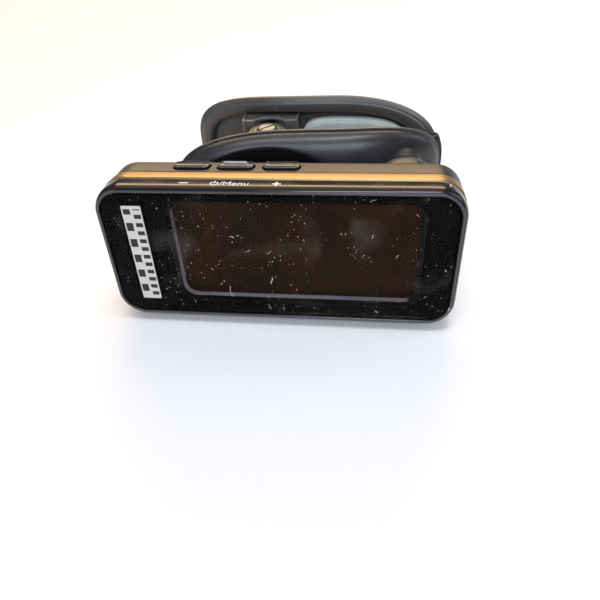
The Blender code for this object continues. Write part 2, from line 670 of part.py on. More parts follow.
def stud_seat(cover, ball_frame):
    """Round seat on the front cover where the ball stud turns, drilled for its screw."""
    back_axis = (-math.pi / 2, 0, 0)
    start = STUD_LENGTH + GAP
    seat = turned(
        "stud_seat", [(0, start + SEAT_DEPTH), (4.9, start + SEAT_DEPTH), (4.4, start), (0, start)], None, ball_frame,
        (0, 0, 0), back_axis, cutter=True,
    )
    combine(cover, seat, "UNION")
    floor = start + SEAT_FLOOR
    profile = [(0, start + 8.0), (2.3, start + 8.0), (2.3, floor), (1.15, floor), (1.15, start - 1.0)]
    bore = turned(
        "screw_bore", profile + [(0, start - 1.0)], None, ball_frame, (0, 0, 0), back_axis, cutter=True, steps=16
    )
    combine(cover, bore)


def clip_unit(clip, ball_frame):
    """Both jaws, the hinge and the spring."""
    for name, side in (("front", -1), ("rear", 1)):
        cover = jaw_cover(name + "_jaw_cover", side, clip)
        frame = jaw_frame(name + "_jaw_frame", side, clip)
        if side < 0:
            front_lugs(frame, clip)
            stud_seat(cover, ball_frame)
        else:
            rear_lugs(frame, clip)
        pocket(frame, side, JAW_B - side * -7.0, clip)
        grip_pad(name + "_grip_pad", side, clip)
        tip_lip(name + "_tip_lip", side, clip)
    hinge(clip)
    torsion_spring(clip)


def build():
    """Place the three frames and make every piece in them."""
    display = empty("display_frame", (0, -CENTRE_Y, DISPLAY_RAISE), (-LEAN, 0, 0))
    cos, sin = math.cos(LEAN), math.sin(LEAN)
    ball = (
        BALL_X,
        BALL_Y * cos + BALL_Z * sin - CENTRE_Y,
        BALL_Z * cos - BALL_Y * sin + DISPLAY_RAISE,
    )
    ball_frame = empty("ball_frame", ball)
    clip = empty("clip_frame", (PIN_X, PIN_Y - CENTRE_Y, 0), (0, 0, math.radians(CLIP_YAW_DEG)))
    display_unit(display)
    ball_joint(display, ball_frame)
    clip_unit(clip, ball_frame)


build()
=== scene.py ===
"""Clip-on tuner: a display unit on a ball joint, held by a sprung clip with two dished jaws.

Every new piece is worked out on a grid in millimetres, in the frame of the unit that it belongs to, and
its place is put into its mesh.  The three frames are the display's (x across, y back from the face, z up
the face), the ball's (at its centre) and the clip's (x along the jaws from the hinge pin, z up).
"""

import json
import math

import bpy
import numpy as np
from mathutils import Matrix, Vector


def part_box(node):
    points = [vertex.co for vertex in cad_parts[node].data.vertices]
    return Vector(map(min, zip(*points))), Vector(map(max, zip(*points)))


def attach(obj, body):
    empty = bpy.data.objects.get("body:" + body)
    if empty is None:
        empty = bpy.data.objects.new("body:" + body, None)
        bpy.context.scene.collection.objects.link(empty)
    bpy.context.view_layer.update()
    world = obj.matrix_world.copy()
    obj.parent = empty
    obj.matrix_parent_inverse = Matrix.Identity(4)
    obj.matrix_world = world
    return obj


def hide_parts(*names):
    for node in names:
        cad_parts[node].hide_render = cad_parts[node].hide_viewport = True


bl_info = {
    "name": "Clip-on tuner",
    "version": (1, 0, 0),
    "blender": (4, 5, 0),
    "location": "View3D > Sidebar > Tuner",
    "description": "Builds a clip-on tuner's shells, display, ball joint and sprung clip with their finishes",
    "category": "Object",
}

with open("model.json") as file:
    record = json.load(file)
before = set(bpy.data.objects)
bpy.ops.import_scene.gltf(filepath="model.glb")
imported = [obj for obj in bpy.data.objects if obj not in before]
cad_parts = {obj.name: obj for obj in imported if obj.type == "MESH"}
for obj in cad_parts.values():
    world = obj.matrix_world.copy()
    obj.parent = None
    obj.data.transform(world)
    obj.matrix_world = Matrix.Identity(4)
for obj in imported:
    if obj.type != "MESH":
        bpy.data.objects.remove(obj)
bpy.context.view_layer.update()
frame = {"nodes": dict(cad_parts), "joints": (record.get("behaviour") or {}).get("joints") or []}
BALL = 1000.0 * np.array(next(j["pos_m"] for j in frame["joints"] if j["name"] == "ball_spin"))
PIN = 1000.0 * np.array(next(j["pos_m"] for j in frame["joints"] if j["name"] == "jaw_open"))

MM = 0.001
GAP = 0.3

# Display unit, in millimetres.
BEZEL_BACK, BAND_FRONT, BAND_BACK, REAR_FRONT = 4.9, 5.2, 9.0, 9.3
LIP_RISE, LIP_RUN = 1.1, 2.3
LENS_INSET, LENS_FRONT, LENS_THICK, REAR_ROUND, WALL = 1.75, 0.25, 1.2, 2.0, 1.5
WINDOW_X, WINDOW_Z, WINDOW_R = 4.0, 18.4, 3.0
BUTTON_X = {"minus": -21.4, "menu": -10.6, "plus": 0.4}
BUTTON_Y, BUTTON_PROUD, CAP_ROUND = 12.3, 0.8, 0.42
RIDGE, DISH = 0.5, 0.3
CELL_X, CELL_Z, DOOR_R, DOOR_T = -14.0, 17.5, 12.0, 1.5
SCREW_PLACES = ((-37.5, 6.0), (-37.5, 30.5), (38.0, 6.0), (14.5, 31.0))
DISPLAY_Y, DISPLAY_Z = -31.84, 2.0375

# Ball joint, in millimetres and degrees.
BALL_X, BALL_Y, BALL_Z = 30.0, 18.5, 27.5
BALL_R, NECK_R, CUP_IN, CUP_OUT, CUP_LIP = 4.5, 1.9, 4.8, 6.2, 42.0
SOCKET_IN, SOCKET_OUT, SOCKET_LIP, SOCKET_SPLIT = 6.5, 8.6, 38.0, 0.6
STUD_LENGTH, SEAT_DEPTH, SEAT_FLOOR = 10.2, 3.2, 1.8

# Clip, in millimetres and degrees.
CLIP_YAW = 1.8
JAW_CX, JAW_POWER, DOME_POWER = 12.25, 3.5, 2.2
RIM_THICK, FLOOR_DEPTH, FLOOR_THICK = 1.6, 2.2, 1.0
COVER_WALL, COVER_INSET, COVER_EDGE = 1.5, 0.5, 2.1
SCOOP_X, SCOOP_A, SCOOP_B, SCOOP_DEPTH = 1.0, 24.0, 16.0, 3.0
PAD_CX, PAD_A, PAD_B, PAD_PROUD, PAD_POWERS = 25.1, 16.0, 12.0, 0.4, (5.5, 3.4)
RIM_CROWN = 0.4
LUG_R, PIN_R, PIN_HOLE_R, LUG_LOW, LUG_HIGH, LUG_THICK = 5.2, 1.5, 1.55, 5.4, 29.1, 2.0
COIL_R, COIL_TURNS, COIL_LOW, COIL_HIGH, LEG_X = 3.2, 7, 11.4, 25.0, -16.6

# Where the eye stands, in millimetres, and the three directions of its view.
EYE = (20.67, -125.62, 101.79)
EYE_RIGHT, EYE_DOWN = (0.9925, 0.1088, -0.0565), (0.0358, -0.6977, -0.7155)
EYE_LENS = 32.08


# ------------------------------------------------------------------ settings


def linear(text):
    """An sRGB hex colour as linear red, green, blue and a full alpha."""
    parts = [int(text[i:i + 2], 16) / 255 for i in (1, 3, 5)]
    return tuple(c / 12.92 if c <= 0.04045 else ((c + 0.055) / 1.055) ** 2.4 for c in parts) + (1.0,)


def length(name, description, millimetres):
    """Settings of a length property whose default is given in millimetres."""
    return dict(name=name, description=description, default=millimetres * MM, min=0.0, unit="LENGTH",
                precision=5)


def colour(name, description, text):
    """Settings of a colour property whose default is given in hex."""
    return dict(name=name, description=description, default=linear(text), size=4, min=0.0, max=1.0,
                subtype="COLOR")


class TunerSizes(bpy.types.PropertyGroup):
    """Sizes of the tuner's main shapes."""

    width: bpy.props.FloatProperty(**length("Width", "Width of the display unit", 86.0))
    height: bpy.props.FloatProperty(**length("Height", "Height of the display unit", 36.5))
    depth: bpy.props.FloatProperty(**length("Depth", "Depth of the display unit", 16.5))
    corner: bpy.props.FloatProperty(**length("Corner", "Corner radius of the display unit", 7.0))
    window_width: bpy.props.FloatProperty(**length("Window width", "Width of the screen's window", 58.6))
    window_height: bpy.props.FloatProperty(**length("Window height", "Height of the screen's window", 26.4))
    button_width: bpy.props.FloatProperty(**length("Button width", "Length of a button's cap", 8.8))
    button_depth: bpy.props.FloatProperty(**length("Button depth", "Breadth of a button's cap", 3.5))
    jaw_length: bpy.props.FloatProperty(**length("Jaw length", "Length of a jaw's rim", 72.5))
    jaw_height: bpy.props.FloatProperty(**length("Jaw height", "Height of a jaw's rim", 36.5))
    rim_width: bpy.props.FloatProperty(**length("Rim width", "Width of a jaw's flat rim", 4.4))
    cover_depth: bpy.props.FloatProperty(**length("Cover depth", "Height of a jaw cover's dome", 9.0))
    wire_radius: bpy.props.FloatProperty(**length("Wire radius", "Radius of the spring's wire", 0.45))
    lean: bpy.props.FloatProperty(
        name="Lean", description="How far the display leans back", default=math.radians(8.0), subtype="ANGLE"
    )


class TunerColours(bpy.types.PropertyGroup):
    """Colours of the tuner's finishes."""

    shell: bpy.props.FloatVectorProperty(**colour("Shell", "Textured plastic of the display unit", "#1D1B1A"))
    cover: bpy.props.FloatVectorProperty(**colour("Cover", "Satin plastic of the jaw covers", "#242426"))
    frame: bpy.props.FloatVectorProperty(**colour("Frame", "Plastic of the jaw frames", "#4A4844"))
    gold: bpy.props.FloatVectorProperty(**colour("Gold", "Anodised trim band", "#A98F66"))
    tint: bpy.props.FloatVectorProperty(**colour("Tint", "Smoke tint of the lens", "#D0CAC2"))
    screen: bpy.props.FloatVectorProperty(**colour("Screen", "Unlit display panel", "#332214"))
    print_white: bpy.props.FloatVectorProperty(**colour("Print", "White ink of marks and label", "#D6D5D0"))
    pad: bpy.props.FloatVectorProperty(**colour("Pad", "Rubber of the jaw pads", "#B4BDB7"))
    lip: bpy.props.FloatVectorProperty(**colour("Lip", "Rubber of the jaw tips", "#0C0C0D"))
    steel: bpy.props.FloatVectorProperty(**colour("Steel", "Nickel-plated steel", "#71757D"))
    floor: bpy.props.FloatVectorProperty(**colour("Floor", "Pale ground", "#EDECE9"))


# ------------------------------------------------------------------- meshes


def moved(points, unit):
    """Points in millimetres in a unit's own frame, put into the row frame in metres: turned, then shifted."""
    if unit == "display":
        a, shift = -bpy.context.scene.tuner_sizes.lean, (0.0, DISPLAY_Y, DISPLAY_Z)
        turn = ((1, 0, 0), (0, math.cos(a), -math.sin(a)), (0, math.sin(a), math.cos(a)))
    elif unit == "clip":
        a, shift = math.radians(CLIP_YAW), (PIN[0], PIN[1], 0.0)
        turn = ((math.cos(a), -math.sin(a), 0), (math.sin(a), math.cos(a), 0), (0, 0, 1))
    else:
        turn, shift = np.eye(3), BALL
    return (np.asarray(points, float) @ np.array(turn, float).T + np.array(shift)) * MM


def backwards(points, centre):
    """A shape made about its own z axis, turned so that this axis points back, and put at a centre."""
    points = np.asarray(points, float)
    return np.stack([points[..., 0], points[..., 2], -points[..., 1]], -1) + np.array(centre)


def grid_mesh(name, grid, unit, loop=False, strip=False):
    """A closed surface over a grid of rings: each ring joins on to itself and to the next ring.

    With loop the last ring joins the first; otherwise the end rings are capped, by a strip of quads
    between facing points where strip is set, or else by one flat face.
    """
    rings, count = grid.shape[:2]
    row = np.arange(rings if loop else rings - 1)[:, None]
    column = np.arange(count)[None, :]
    here, there = row * count, (row + 1) % rings * count
    after = (column + 1) % count
    quads = np.stack([here + column, here + after, there + after, there + column], -1).reshape(-1, 4)
    faces = quads.tolist()
    if not loop:
        for start, back in ((0, True), ((rings - 1) * count, False)):
            if strip:
                i = np.arange(1, count // 2 - 1)
                middle = start + count // 2
                cap = np.stack([i, i + 1, count - i - 1, count - i], -1) + start
                cap = [(start, start + 1, start + count - 1), *cap.tolist(), (middle - 1, middle, middle + 1)]
            else:
                cap = [list(range(start, start + count))]
            faces += [face[::-1] for face in cap] if back else cap
    points = moved(grid.reshape(-1, 3), unit)
    mesh = bpy.data.meshes.new(name)
    mesh.from_pydata(points, [], faces)
    if signed_volume(mesh) < 0:
        mesh.flip_normals()
    return mesh


def signed_volume(mesh):
    """Six times the volume inside a closed mesh: the sum over its triangles of a . (b x c)."""
    mesh.calc_loop_triangles()
    corner = np.empty(len(mesh.loop_triangles) * 3, np.int32)
    mesh.loop_triangles.foreach_get("vertices", corner)
    point = np.empty(len(mesh.vertices) * 3, np.float32)
    mesh.vertices.foreach_get("co", point)
    a, b, c = point.reshape(-1, 3).astype(float)[corner.reshape(-1, 3)].transpose(1, 0, 2)
    return float((a * np.cross(b, c)).sum())


def joined(name, meshes):
    """Several closed meshes as one, their points and faces one after the other."""
    points, faces, base = [], [], 0
    for mesh in meshes:
        co = np.empty(len(mesh.vertices) * 3, np.float32)
        mesh.vertices.foreach_get("co", co)
        points.append(co.reshape(-1, 3))
        faces += [[base + v for v in face.vertices] for face in mesh.polygons]
        base += len(mesh.vertices)
    made = bpy.data.meshes.new(name)
    made.from_pydata(np.concatenate(points), [], faces)
    return made


def carved(mesh, tools):
    """A mesh with closed tools cut out or joined on, one after the other, and the result kept as a mesh."""
    item = bpy.data.objects.new(mesh.name, mesh)
    bpy.context.scene.collection.objects.link(item)
    cutters = []
    for operation, tool in tools:
        cutter = bpy.data.objects.new("tool", tool)
        bpy.context.scene.collection.objects.link(cutter)
        step = item.modifiers.new(operation, "BOOLEAN")
        step.operation, step.solver, step.object = operation, "EXACT", cutter
        cutters.append(cutter)
    graph = bpy.context.evaluated_depsgraph_get()
    made = bpy.data.meshes.new_from_object(item.evaluated_get(graph))
    for extra in (item, *cutters):
        bpy.data.objects.remove(extra)
    if not made.polygons:
        raise RuntimeError(f"{mesh.name} came out empty")
    return made


def placed(name, mesh, finish, body, nodes=(), sharp=35.0):
    """The finished piece: smooth but for edges sharper than an angle, riding on its body."""
    item = bpy.data.objects.new(name, mesh)
    bpy.context.scene.collection.objects.link(item)
    mesh.polygons.foreach_set("use_smooth", np.ones(len(mesh.polygons), bool))
    mesh.set_sharp_from_angle(angle=math.radians(sharp))
    mesh.materials.clear()
    mesh.materials.append(finish)
    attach(item, body)
    if nodes:
        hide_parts(*nodes)
    return item


def rounded_rectangle(width, height, radius, centre=(0.0, 0.0), steps=20):
    """Outline of a rounded rectangle: each corner's centre plus the radius times (cos t, sin t)."""
    turn = (np.pi / 2 * (np.arange(4)[:, None] + np.linspace(0, 1, steps + 1)[None, :])).ravel()
    side = np.repeat([(1, 1), (-1, 1), (-1, -1), (1, -1)], steps + 1, 0)
    middle = side * (np.array((width, height)) / 2 - radius) + np.array(centre)
    return middle + radius * np.stack([np.cos(turn), np.sin(turn)], -1)


def filleted(points, radius, steps=4, closed=False):
    """A profile with each corner replaced by a curve: a quadratic Bezier whose ends lie along both sides."""
    points = np.array(points, float)
    before, after = np.roll(points, 1, 0), np.roll(points, -1, 0)
    reach = np.minimum(np.linalg.norm(before - points, axis=1), np.linalg.norm(after - points, axis=1)) * 0.45
    reach = np.minimum(reach, np.broadcast_to(radius, reach.shape))[:, None]
    unit = lambda v: v / np.maximum(np.linalg.norm(v, axis=1, keepdims=True), 1e-9)
    start, end = points + unit(before - points) * reach, points + unit(after - points) * reach
    t = np.linspace(0, 1, steps + 1)[None, :, None]
    curve = (1 - t) ** 2 * start[:, None] + 2 * t * (1 - t) * points[:, None] + t ** 2 * end[:, None]
    if closed:
        return curve.reshape(-1, 2)
    return np.concatenate([points[:1], curve[1:-1].reshape(-1, 2), points[-1:]])


def arc(radius, start, end, steps=16, centre=(0.0, 0.0)):
    """Points of a circular arc between two angles in degrees."""
    angle = np.radians(np.linspace(start, end, steps + 1))
    return np.stack([centre[0] + radius * np.cos(angle), centre[1] + radius * np.sin(angle)], -1)


def turned(name, profile, unit, centre=(0, 0, 0), upright=False, loop=False, steps=96):
    """A profile of (radius, height) carried round an axis: x = r cos t, y = r sin t, z = height."""
    profile = np.array(profile, float)
    if not loop:
        profile = profile[profile[:, 0] > 1e-6]
    angle = np.linspace(0, 2 * np.pi, steps, endpoint=False)
    r, z = profile[:, :1], profile[:, 1:]
    grid = np.stack([r * np.cos(angle), r * np.sin(angle), z + 0 * angle], -1)
    grid = grid + np.array(centre) if upright else backwards(grid, centre)
    return grid_mesh(name, grid, unit, loop=loop)


def plate(name, outline, low, high, unit, edge=0.0, steps=4, plane="xy", recess=None):
    """A flat solid: its outline at a low and a high level, rounded over at both by an edge radius.

    The outline is drawn in along its own normals. A recess of (border, depth) sinks the top inside a border.
    """
    outline = np.asarray(outline, float)
    along = np.roll(outline, -1, 0) - np.roll(outline, 1, 0)
    area = np.sum(outline[:, 0] * np.roll(outline[:, 1], -1) - outline[:, 1] * np.roll(outline[:, 0], -1))
    inward = np.stack([-along[:, 1], along[:, 0]], -1) * math.copysign(1.0, area)
    inward /= np.maximum(np.linalg.norm(inward, axis=1, keepdims=True), 1e-9)
    turn = np.linspace(0, np.pi / 2, steps + 1) if edge else np.array([0.0])
    inset = edge * (1 - np.cos(turn))
    levels = [(k, low + edge - edge * math.sin(t)) for k, t in zip(inset[::-1], turn[::-1])]
    levels += [(k, high - edge + edge * math.sin(t)) for k, t in zip(inset, turn)]
    if recess:
        border, depth = recess
        levels += [(border - edge, high), (border, high - edge), (border + edge, high - depth)]
    rings = np.array([[(*(p), level) for p in outline + k * inward] for k, level in levels])
    if plane == "xz":
        rings = rings[..., [0, 2, 1]]
    return grid_mesh(name, rings, unit)


def tube(name, line, radius, unit, count=20):
    """A round wire: circles about a line, each in the plane of the line's normal and binormal."""
    line = np.asarray(line, float)
    tangent = np.gradient(line, axis=0)
    tangent /= np.linalg.norm(tangent, axis=1, keepdims=True)
    side = np.cross(tangent, (0, 0, 1.0))
    side /= np.linalg.norm(side, axis=1, keepdims=True)
    up = np.cross(side, tangent)
    angle = np.linspace(0, 2 * np.pi, count, endpoint=False)[:, None]
    circle = np.cos(angle) * side[:, None] + np.sin(angle) * up[:, None]
    close = np.radians([75.0, 50.0, 25.0])[:, None, None]
    first = line[0] - radius * (np.sin(close) * tangent[0] / 2 - np.cos(close) * circle[0])
    last = line[-1] + radius * (np.sin(close[::-1]) * tangent[-1] / 2 + np.cos(close[::-1]) * circle[-1])
    return grid_mesh(name, np.concatenate([first, line[:, None] + radius * circle, last]), unit)


# ----------------------------------------------------------------- finishes


def add(tree, kind, inputs=None, **settings):
    """Add a shader node of a kind; an input given as a socket is linked, and any other value is set."""
    made = tree.nodes.new("ShaderNode" + kind)
    for key, value in settings.items():
        setattr(made, key, value)
    for key, value in (inputs or {}).items():
        if isinstance(value, bpy.types.NodeSocket):
            tree.links.new(value, made.inputs[key])
        else:
            made.inputs[key].default_value = value
    return made


def blank(name, **values):
    """A new material with its tree, its shader and the piece's own coordinates."""
    finish = bpy.data.materials.new(name)
    finish.use_nodes = True
    tree = finish.node_tree
    shader = tree.nodes["Principled BSDF"]
    for key, value in values.items():
        shader.inputs[key.replace("_", " ")].default_value = value
    return finish, tree, shader, add(tree, "TexCoord").outputs["Object"]


def feed(tree, shader, **sources):
    """Link sockets to the shader's inputs, each named with an underscore for a space."""
    for key, source in sources.items():
        tree.links.new(source, shader.inputs[key.replace("_", " ")])


def per(size):
    """A texture's scale for features of a size in millimetres, as the coordinates are in metres."""
    return 1.0 / (size * MM)


def shade(tone, factor):
    """A colour made darker or lighter by a factor."""
    return tuple(min(c * factor, 1.0) for c in tone[:3]) + (1.0,)


def dust(tree, place, size, spread, amount):
    """Mask of settled dust: small balls about scattered points, thinned out by a coarse cloud."""
    cells = add(tree, "TexVoronoi", {"Vector": place, "Scale": per(spread), "Randomness": 1.0})
    near = add(
        tree, "MapRange",
        {"Value": cells.outputs["Distance"], "From Min": size / spread, "From Max": 0.4 * size / spread},
    )
    cloud = add(tree, "TexNoise", {"Vector": place, "Scale": per(9.0), "Detail": 2.0})
    thin = add(tree, "MapRange", {"Value": cloud.outputs["Fac"], "From Min": 0.42, "From Max": 0.62})
    both = add(tree, "Math", {0: near.outputs["Result"], 1: thin.outputs["Result"]}, operation="MULTIPLY")
    return add(tree, "Math", {0: both.outputs[0], 1: amount}, operation="MULTIPLY").outputs[0]


def moulded(name, tone, grain, depth, rough, dusty=0.5, **values):
    """Spark-textured moulded plastic: fine grain in the bump, handled patches and worn edges in the gloss."""
    finish, tree, shader, place = blank(name, **values)
    fine = add(tree, "TexNoise", {"Vector": place, "Scale": per(grain), "Detail": 3.0, "Roughness": 0.6})
    patch = add(tree, "TexNoise", {"Vector": place, "Scale": per(11.0), "Detail": 3.0, "Roughness": 0.55})
    edge = add(
        tree, "MapRange",
        {"Value": add(tree, "NewGeometry").outputs["Pointiness"], "From Min": 0.51, "From Max": 0.56},
    )
    body = add(
        tree, "Mix", {0: patch.outputs["Fac"], 6: shade(tone, 0.8), 7: shade(tone, 1.25)}, data_type="RGBA"
    )
    fleck = add(
        tree, "Mix", {0: fine.outputs["Fac"], 6: shade(tone, 0.85), 7: body.outputs[2]}, data_type="RGBA"
    )
    worn = add(
        tree, "Mix", {0: edge.outputs["Result"], 6: fleck.outputs[2], 7: shade(tone, 1.8)}, data_type="RGBA"
    )
    settled = dust(tree, place, 0.07, 1.5, dusty)
    dusted = add(tree, "Mix", {0: settled, 6: worn.outputs[2], 7: linear("#9A948C")}, data_type="RGBA")
    gloss = add(
        tree, "MapRange",
        {"Value": patch.outputs["Fac"], "From Min": 0.3, "From Max": 0.7, "To Min": rough - 0.05,
         "To Max": rough + 0.06},
    )
    bump = add(tree, "Bump", {"Height": fine.outputs["Fac"], "Distance": depth * MM, "Strength": 0.6})
    feed(
        tree, shader, Base_Color=dusted.outputs[2], Roughness=gloss.outputs["Result"],
        Normal=bump.outputs["Normal"],
    )
    return finish


def tinted(finish, mask, tone):
    """Colour a finish with a tone where a mask, made in its tree, is one."""
    tree = finish.node_tree
    shader = tree.nodes["Principled BSDF"]
    base = shader.inputs["Base Color"].links[0].from_socket
    mix = add(tree, "Mix", {0: mask, 6: base, 7: tone}, data_type="RGBA")
    feed(tree, shader, Base_Color=mix.outputs[2])
    return finish


def shell_abs(tones):
    """Moulded ABS with a fine spark texture: near black, with a warm soft sheen where it faces the light."""
    return moulded("Moulded ABS shell", tones.shell, 0.16, 0.02, 0.36)


def bezel_abs(tones):
    """Polished ABS of the front ring and buttons: dark gloss, with a pale painted highlight along its
    sharpest edges.
    """
    finish = moulded("Polished ABS bezel", tones.shell, 0.12, 0.002, 0.15, Specular_IOR_Level=0.3)
    tree = finish.node_tree
    # Painted highlight: the sharpest convex edges, found by pointiness, are coloured a pale grey line.
    edge = add(tree, "NewGeometry").outputs["Pointiness"]
    sharp = add(tree, "MapRange", {"Value": edge, "From Min": 0.515, "From Max": 0.545})
    return tinted(finish, sharp.outputs["Result"], linear("#A9ACB2"))


def frame_abs(tones):
    """Semi-gloss dark grey ABS of the jaw frames: a satin band of light follows the wide rim."""
    return moulded("Semi-gloss ABS frame", tones.frame, 0.3, 0.006, 0.36, dusty=0.7)


def cover_finish(tones):
    """Satin lacquered ABS of the jaw covers: silver on the upper edge, glossier in the thumb scoop, where its
    colour is darkened as painted shade.
    """
    finish = moulded("Satin lacquered ABS cover", tones.cover, 0.14, 0.01, 0.36)
    tree = finish.node_tree
    shader = tree.nodes["Principled BSDF"]
    place = tree.nodes["Texture Coordinate"].outputs["Object"]
    jaw_height = bpy.context.scene.tuner_sizes.jaw_height
    centre = ((PIN[0] + SCOOP_X) * MM, 0.0, jaw_height / 2)
    local = add(tree, "VectorMath", {0: place, 1: centre}, operation="SUBTRACT")
    flat = (1 / (SCOOP_A * MM), 0.0, 1 / (SCOOP_B * MM))
    oval = add(tree, "VectorMath", {0: local.outputs[0], 1: flat}, operation="MULTIPLY")
    reach = add(tree, "VectorMath", {0: oval.outputs[0]}, operation="LENGTH")
    scoop = add(tree, "MapRange", {"Value": reach.outputs["Value"], "From Min": 1.0, "From Max": 0.97})
    gloss = shader.inputs["Roughness"].links[0].from_socket
    smooth = add(tree, "Mix", {0: scoop.outputs["Result"], 2: gloss, 3: 0.2}, data_type="FLOAT")
    feed(tree, shader, Roughness=smooth.outputs[0])
    # Painted shade: the thumb scoop's colour is darkened to about a third, standing in for the shade inside
    # the hollow.
    return tinted(finish, scoop.outputs["Result"], shade(tones.cover, 0.35))


def anodised_gold(tones):
    """Anodised aluminium band, brushed along its length: warm gold with fine lengthwise streaks."""
    finish, tree, shader, place = blank("Anodised aluminium band", Metallic=1.0)
    # The brush lines are 0.1 mm apart, drawn as streaks 30 mm long.
    along = add(tree, "VectorMath", {0: place, 1: (per(30.0), per(0.12), per(30.0))}, operation="MULTIPLY")
    streak = add(tree, "TexNoise", {"Vector": along.outputs[0], "Scale": 1.0, "Detail": 3.0})
    patch = add(tree, "TexNoise", {"Vector": place, "Scale": per(7.0), "Detail": 2.0})
    tone = add(
        tree, "Mix",
        {0: streak.outputs["Fac"], 6: shade(tones.gold, 0.72), 7: shade(tones.gold, 1.12)}, data_type="RGBA",
    )
    tint = add(
        tree, "Mix", {0: patch.outputs["Fac"], 6: tone.outputs[2], 7: shade(tones.gold, 0.85)},
        data_type="RGBA"
    )
    gloss = add(tree, "MapRange", {"Value": streak.outputs["Fac"], "To Min": 0.3, "To Max": 0.46})
    bump = add(tree, "Bump", {"Height": streak.outputs["Fac"], "Distance": 0.004 * MM, "Strength": 0.5})
    feed(
        tree, shader, Base_Color=tint.outputs[2], Roughness=gloss.outputs["Result"],
        Normal=bump.outputs["Normal"],
    )
    return finish


def acrylic_lens(tones):
    """Smoked acrylic with an anti-glare coat: deep black gloss, with dust, fibres and wiped smears on it, and
    pale patches in the smears painted as reflections.
    """
    finish, tree, shader, place = blank("Smoked acrylic lens", IOR=1.12)
    specks = dust(tree, place, 0.13, 1.3, 1.0)
    # Fibres are 0.1 mm thick: bent pieces of cell edges 7 mm apart, kept in a few places only.
    bend = add(tree, "TexNoise", {"Vector": place, "Scale": per(4.0), "Detail": 2.0})
    bent = add(
        tree, "VectorMath", {0: bend.outputs["Color"], 1: (3.0 * MM,) * 3, 2: place}, operation="MULTIPLY_ADD"
    )
    cells = add(
        tree, "TexVoronoi", {"Vector": bent.outputs[0], "Scale": per(7.0)}, feature="DISTANCE_TO_EDGE"
    )
    line = add(tree, "MapRange", {"Value": cells.outputs["Distance"], "From Min": 0.007, "From Max": 0.003})
    chosen = add(tree, "TexNoise", {"Vector": place, "Scale": per(3.5), "Detail": 1.0})
    few = add(tree, "MapRange", {"Value": chosen.outputs["Fac"], "From Min": 0.7, "From Max": 0.72})
    fibres = add(tree, "Math", {0: line.outputs["Result"], 1: few.outputs["Result"]}, operation="MULTIPLY")
    dirt = add(tree, "Math", {0: specks, 1: fibres.outputs[0]}, operation="MAXIMUM")
    smear_and_reflection_cloud = add(tree, "TexNoise", {"Vector": place, "Scale": per(16.0), "Detail": 4.0, "Distortion": 1.5})
    film = add(
        tree, "MapRange",
        {"Value": smear_and_reflection_cloud.outputs["Fac"], "From Min": 0.35, "From Max": 0.75, "To Min": 0.02, "To Max": 0.05},
    )
    gloss = add(tree, "Mix", {0: dirt.outputs[0], 2: film.outputs["Result"], 3: 0.8}, data_type="FLOAT")
    tone = add(
        tree, "Mix", {0: dirt.outputs[0], 6: tuple(tones.tint), 7: linear("#F6F2EA")}, data_type="RGBA"
    )
    # Painted reflection: where the smear cloud is thick, the pale tint shows as a diffuse patch, partly a
    # wiped smear and partly a painted cloudy reflection.
    painted_reflection_haze = add(
        tree, "MapRange",
        {"Value": smear_and_reflection_cloud.outputs["Fac"], "From Min": 0.58, "From Max": 0.8, "To Min": 0.0, "To Max": 0.06},
    )
    veil = add(tree, "Math", {0: dirt.outputs[0], 1: painted_reflection_haze.outputs["Result"]}, operation="MAXIMUM")
    clear = add(tree, "Math", {0: 1.0, 1: veil.outputs[0]}, operation="SUBTRACT")
    feed(
        tree, shader, Base_Color=tone.outputs[2], Roughness=gloss.outputs[0],
        Transmission_Weight=clear.outputs[0],
    )
    return finish


def mottled(name, low, high, size, detail=2.0, **values):
    """An even coat of one colour, with a faint cloud between a lower and a higher tone."""
    finish, tree, shader, place = blank(name, **values)
    cloud = add(tree, "TexNoise", {"Vector": place, "Scale": per(size), "Detail": detail})
    tone = add(tree, "Mix", {0: cloud.outputs["Fac"], 6: low, 7: high}, data_type="RGBA")
    feed(tree, shader, Base_Color=tone.outputs[2])
    return finish


def black_ink(tones):
    """Screen-printed black ink behind the lens: flat deep black with a faint mottle."""
    tone = linear("#070708"), linear("#0D0C0C")
    return mottled("Screen-printed black ink", *tone, 0.8, Specular_IOR_Level=0.04, Roughness=0.45)


def mask_abs(tones):
    """Moulded polycarbonate window mask: black, with a cool lavender-grey painted highlight on the slopes of
    its window edge that face upwards.
    """
    finish = moulded("Moulded polycarbonate mask", linear("#101013"), 0.25, 0.01, 0.3, dusty=0.2)
    tree = finish.node_tree
    # Painted highlight: faces turned upwards and to the right are coloured pale lavender-grey, standing in
    # for the light that the window's lower bevel catches.
    normal = add(tree, "NewGeometry").outputs["Normal"]
    facing = add(tree, "VectorMath", {0: normal, 1: (0.6, 0.0, 0.8)}, operation="DOT_PRODUCT")
    painted_bevel_highlight = add(tree, "MapRange", {"Value": facing.outputs["Value"], "From Min": 0.3, "From Max": 0.62})
    return tinted(finish, painted_bevel_highlight.outputs["Result"], linear("#B4B6CC"))


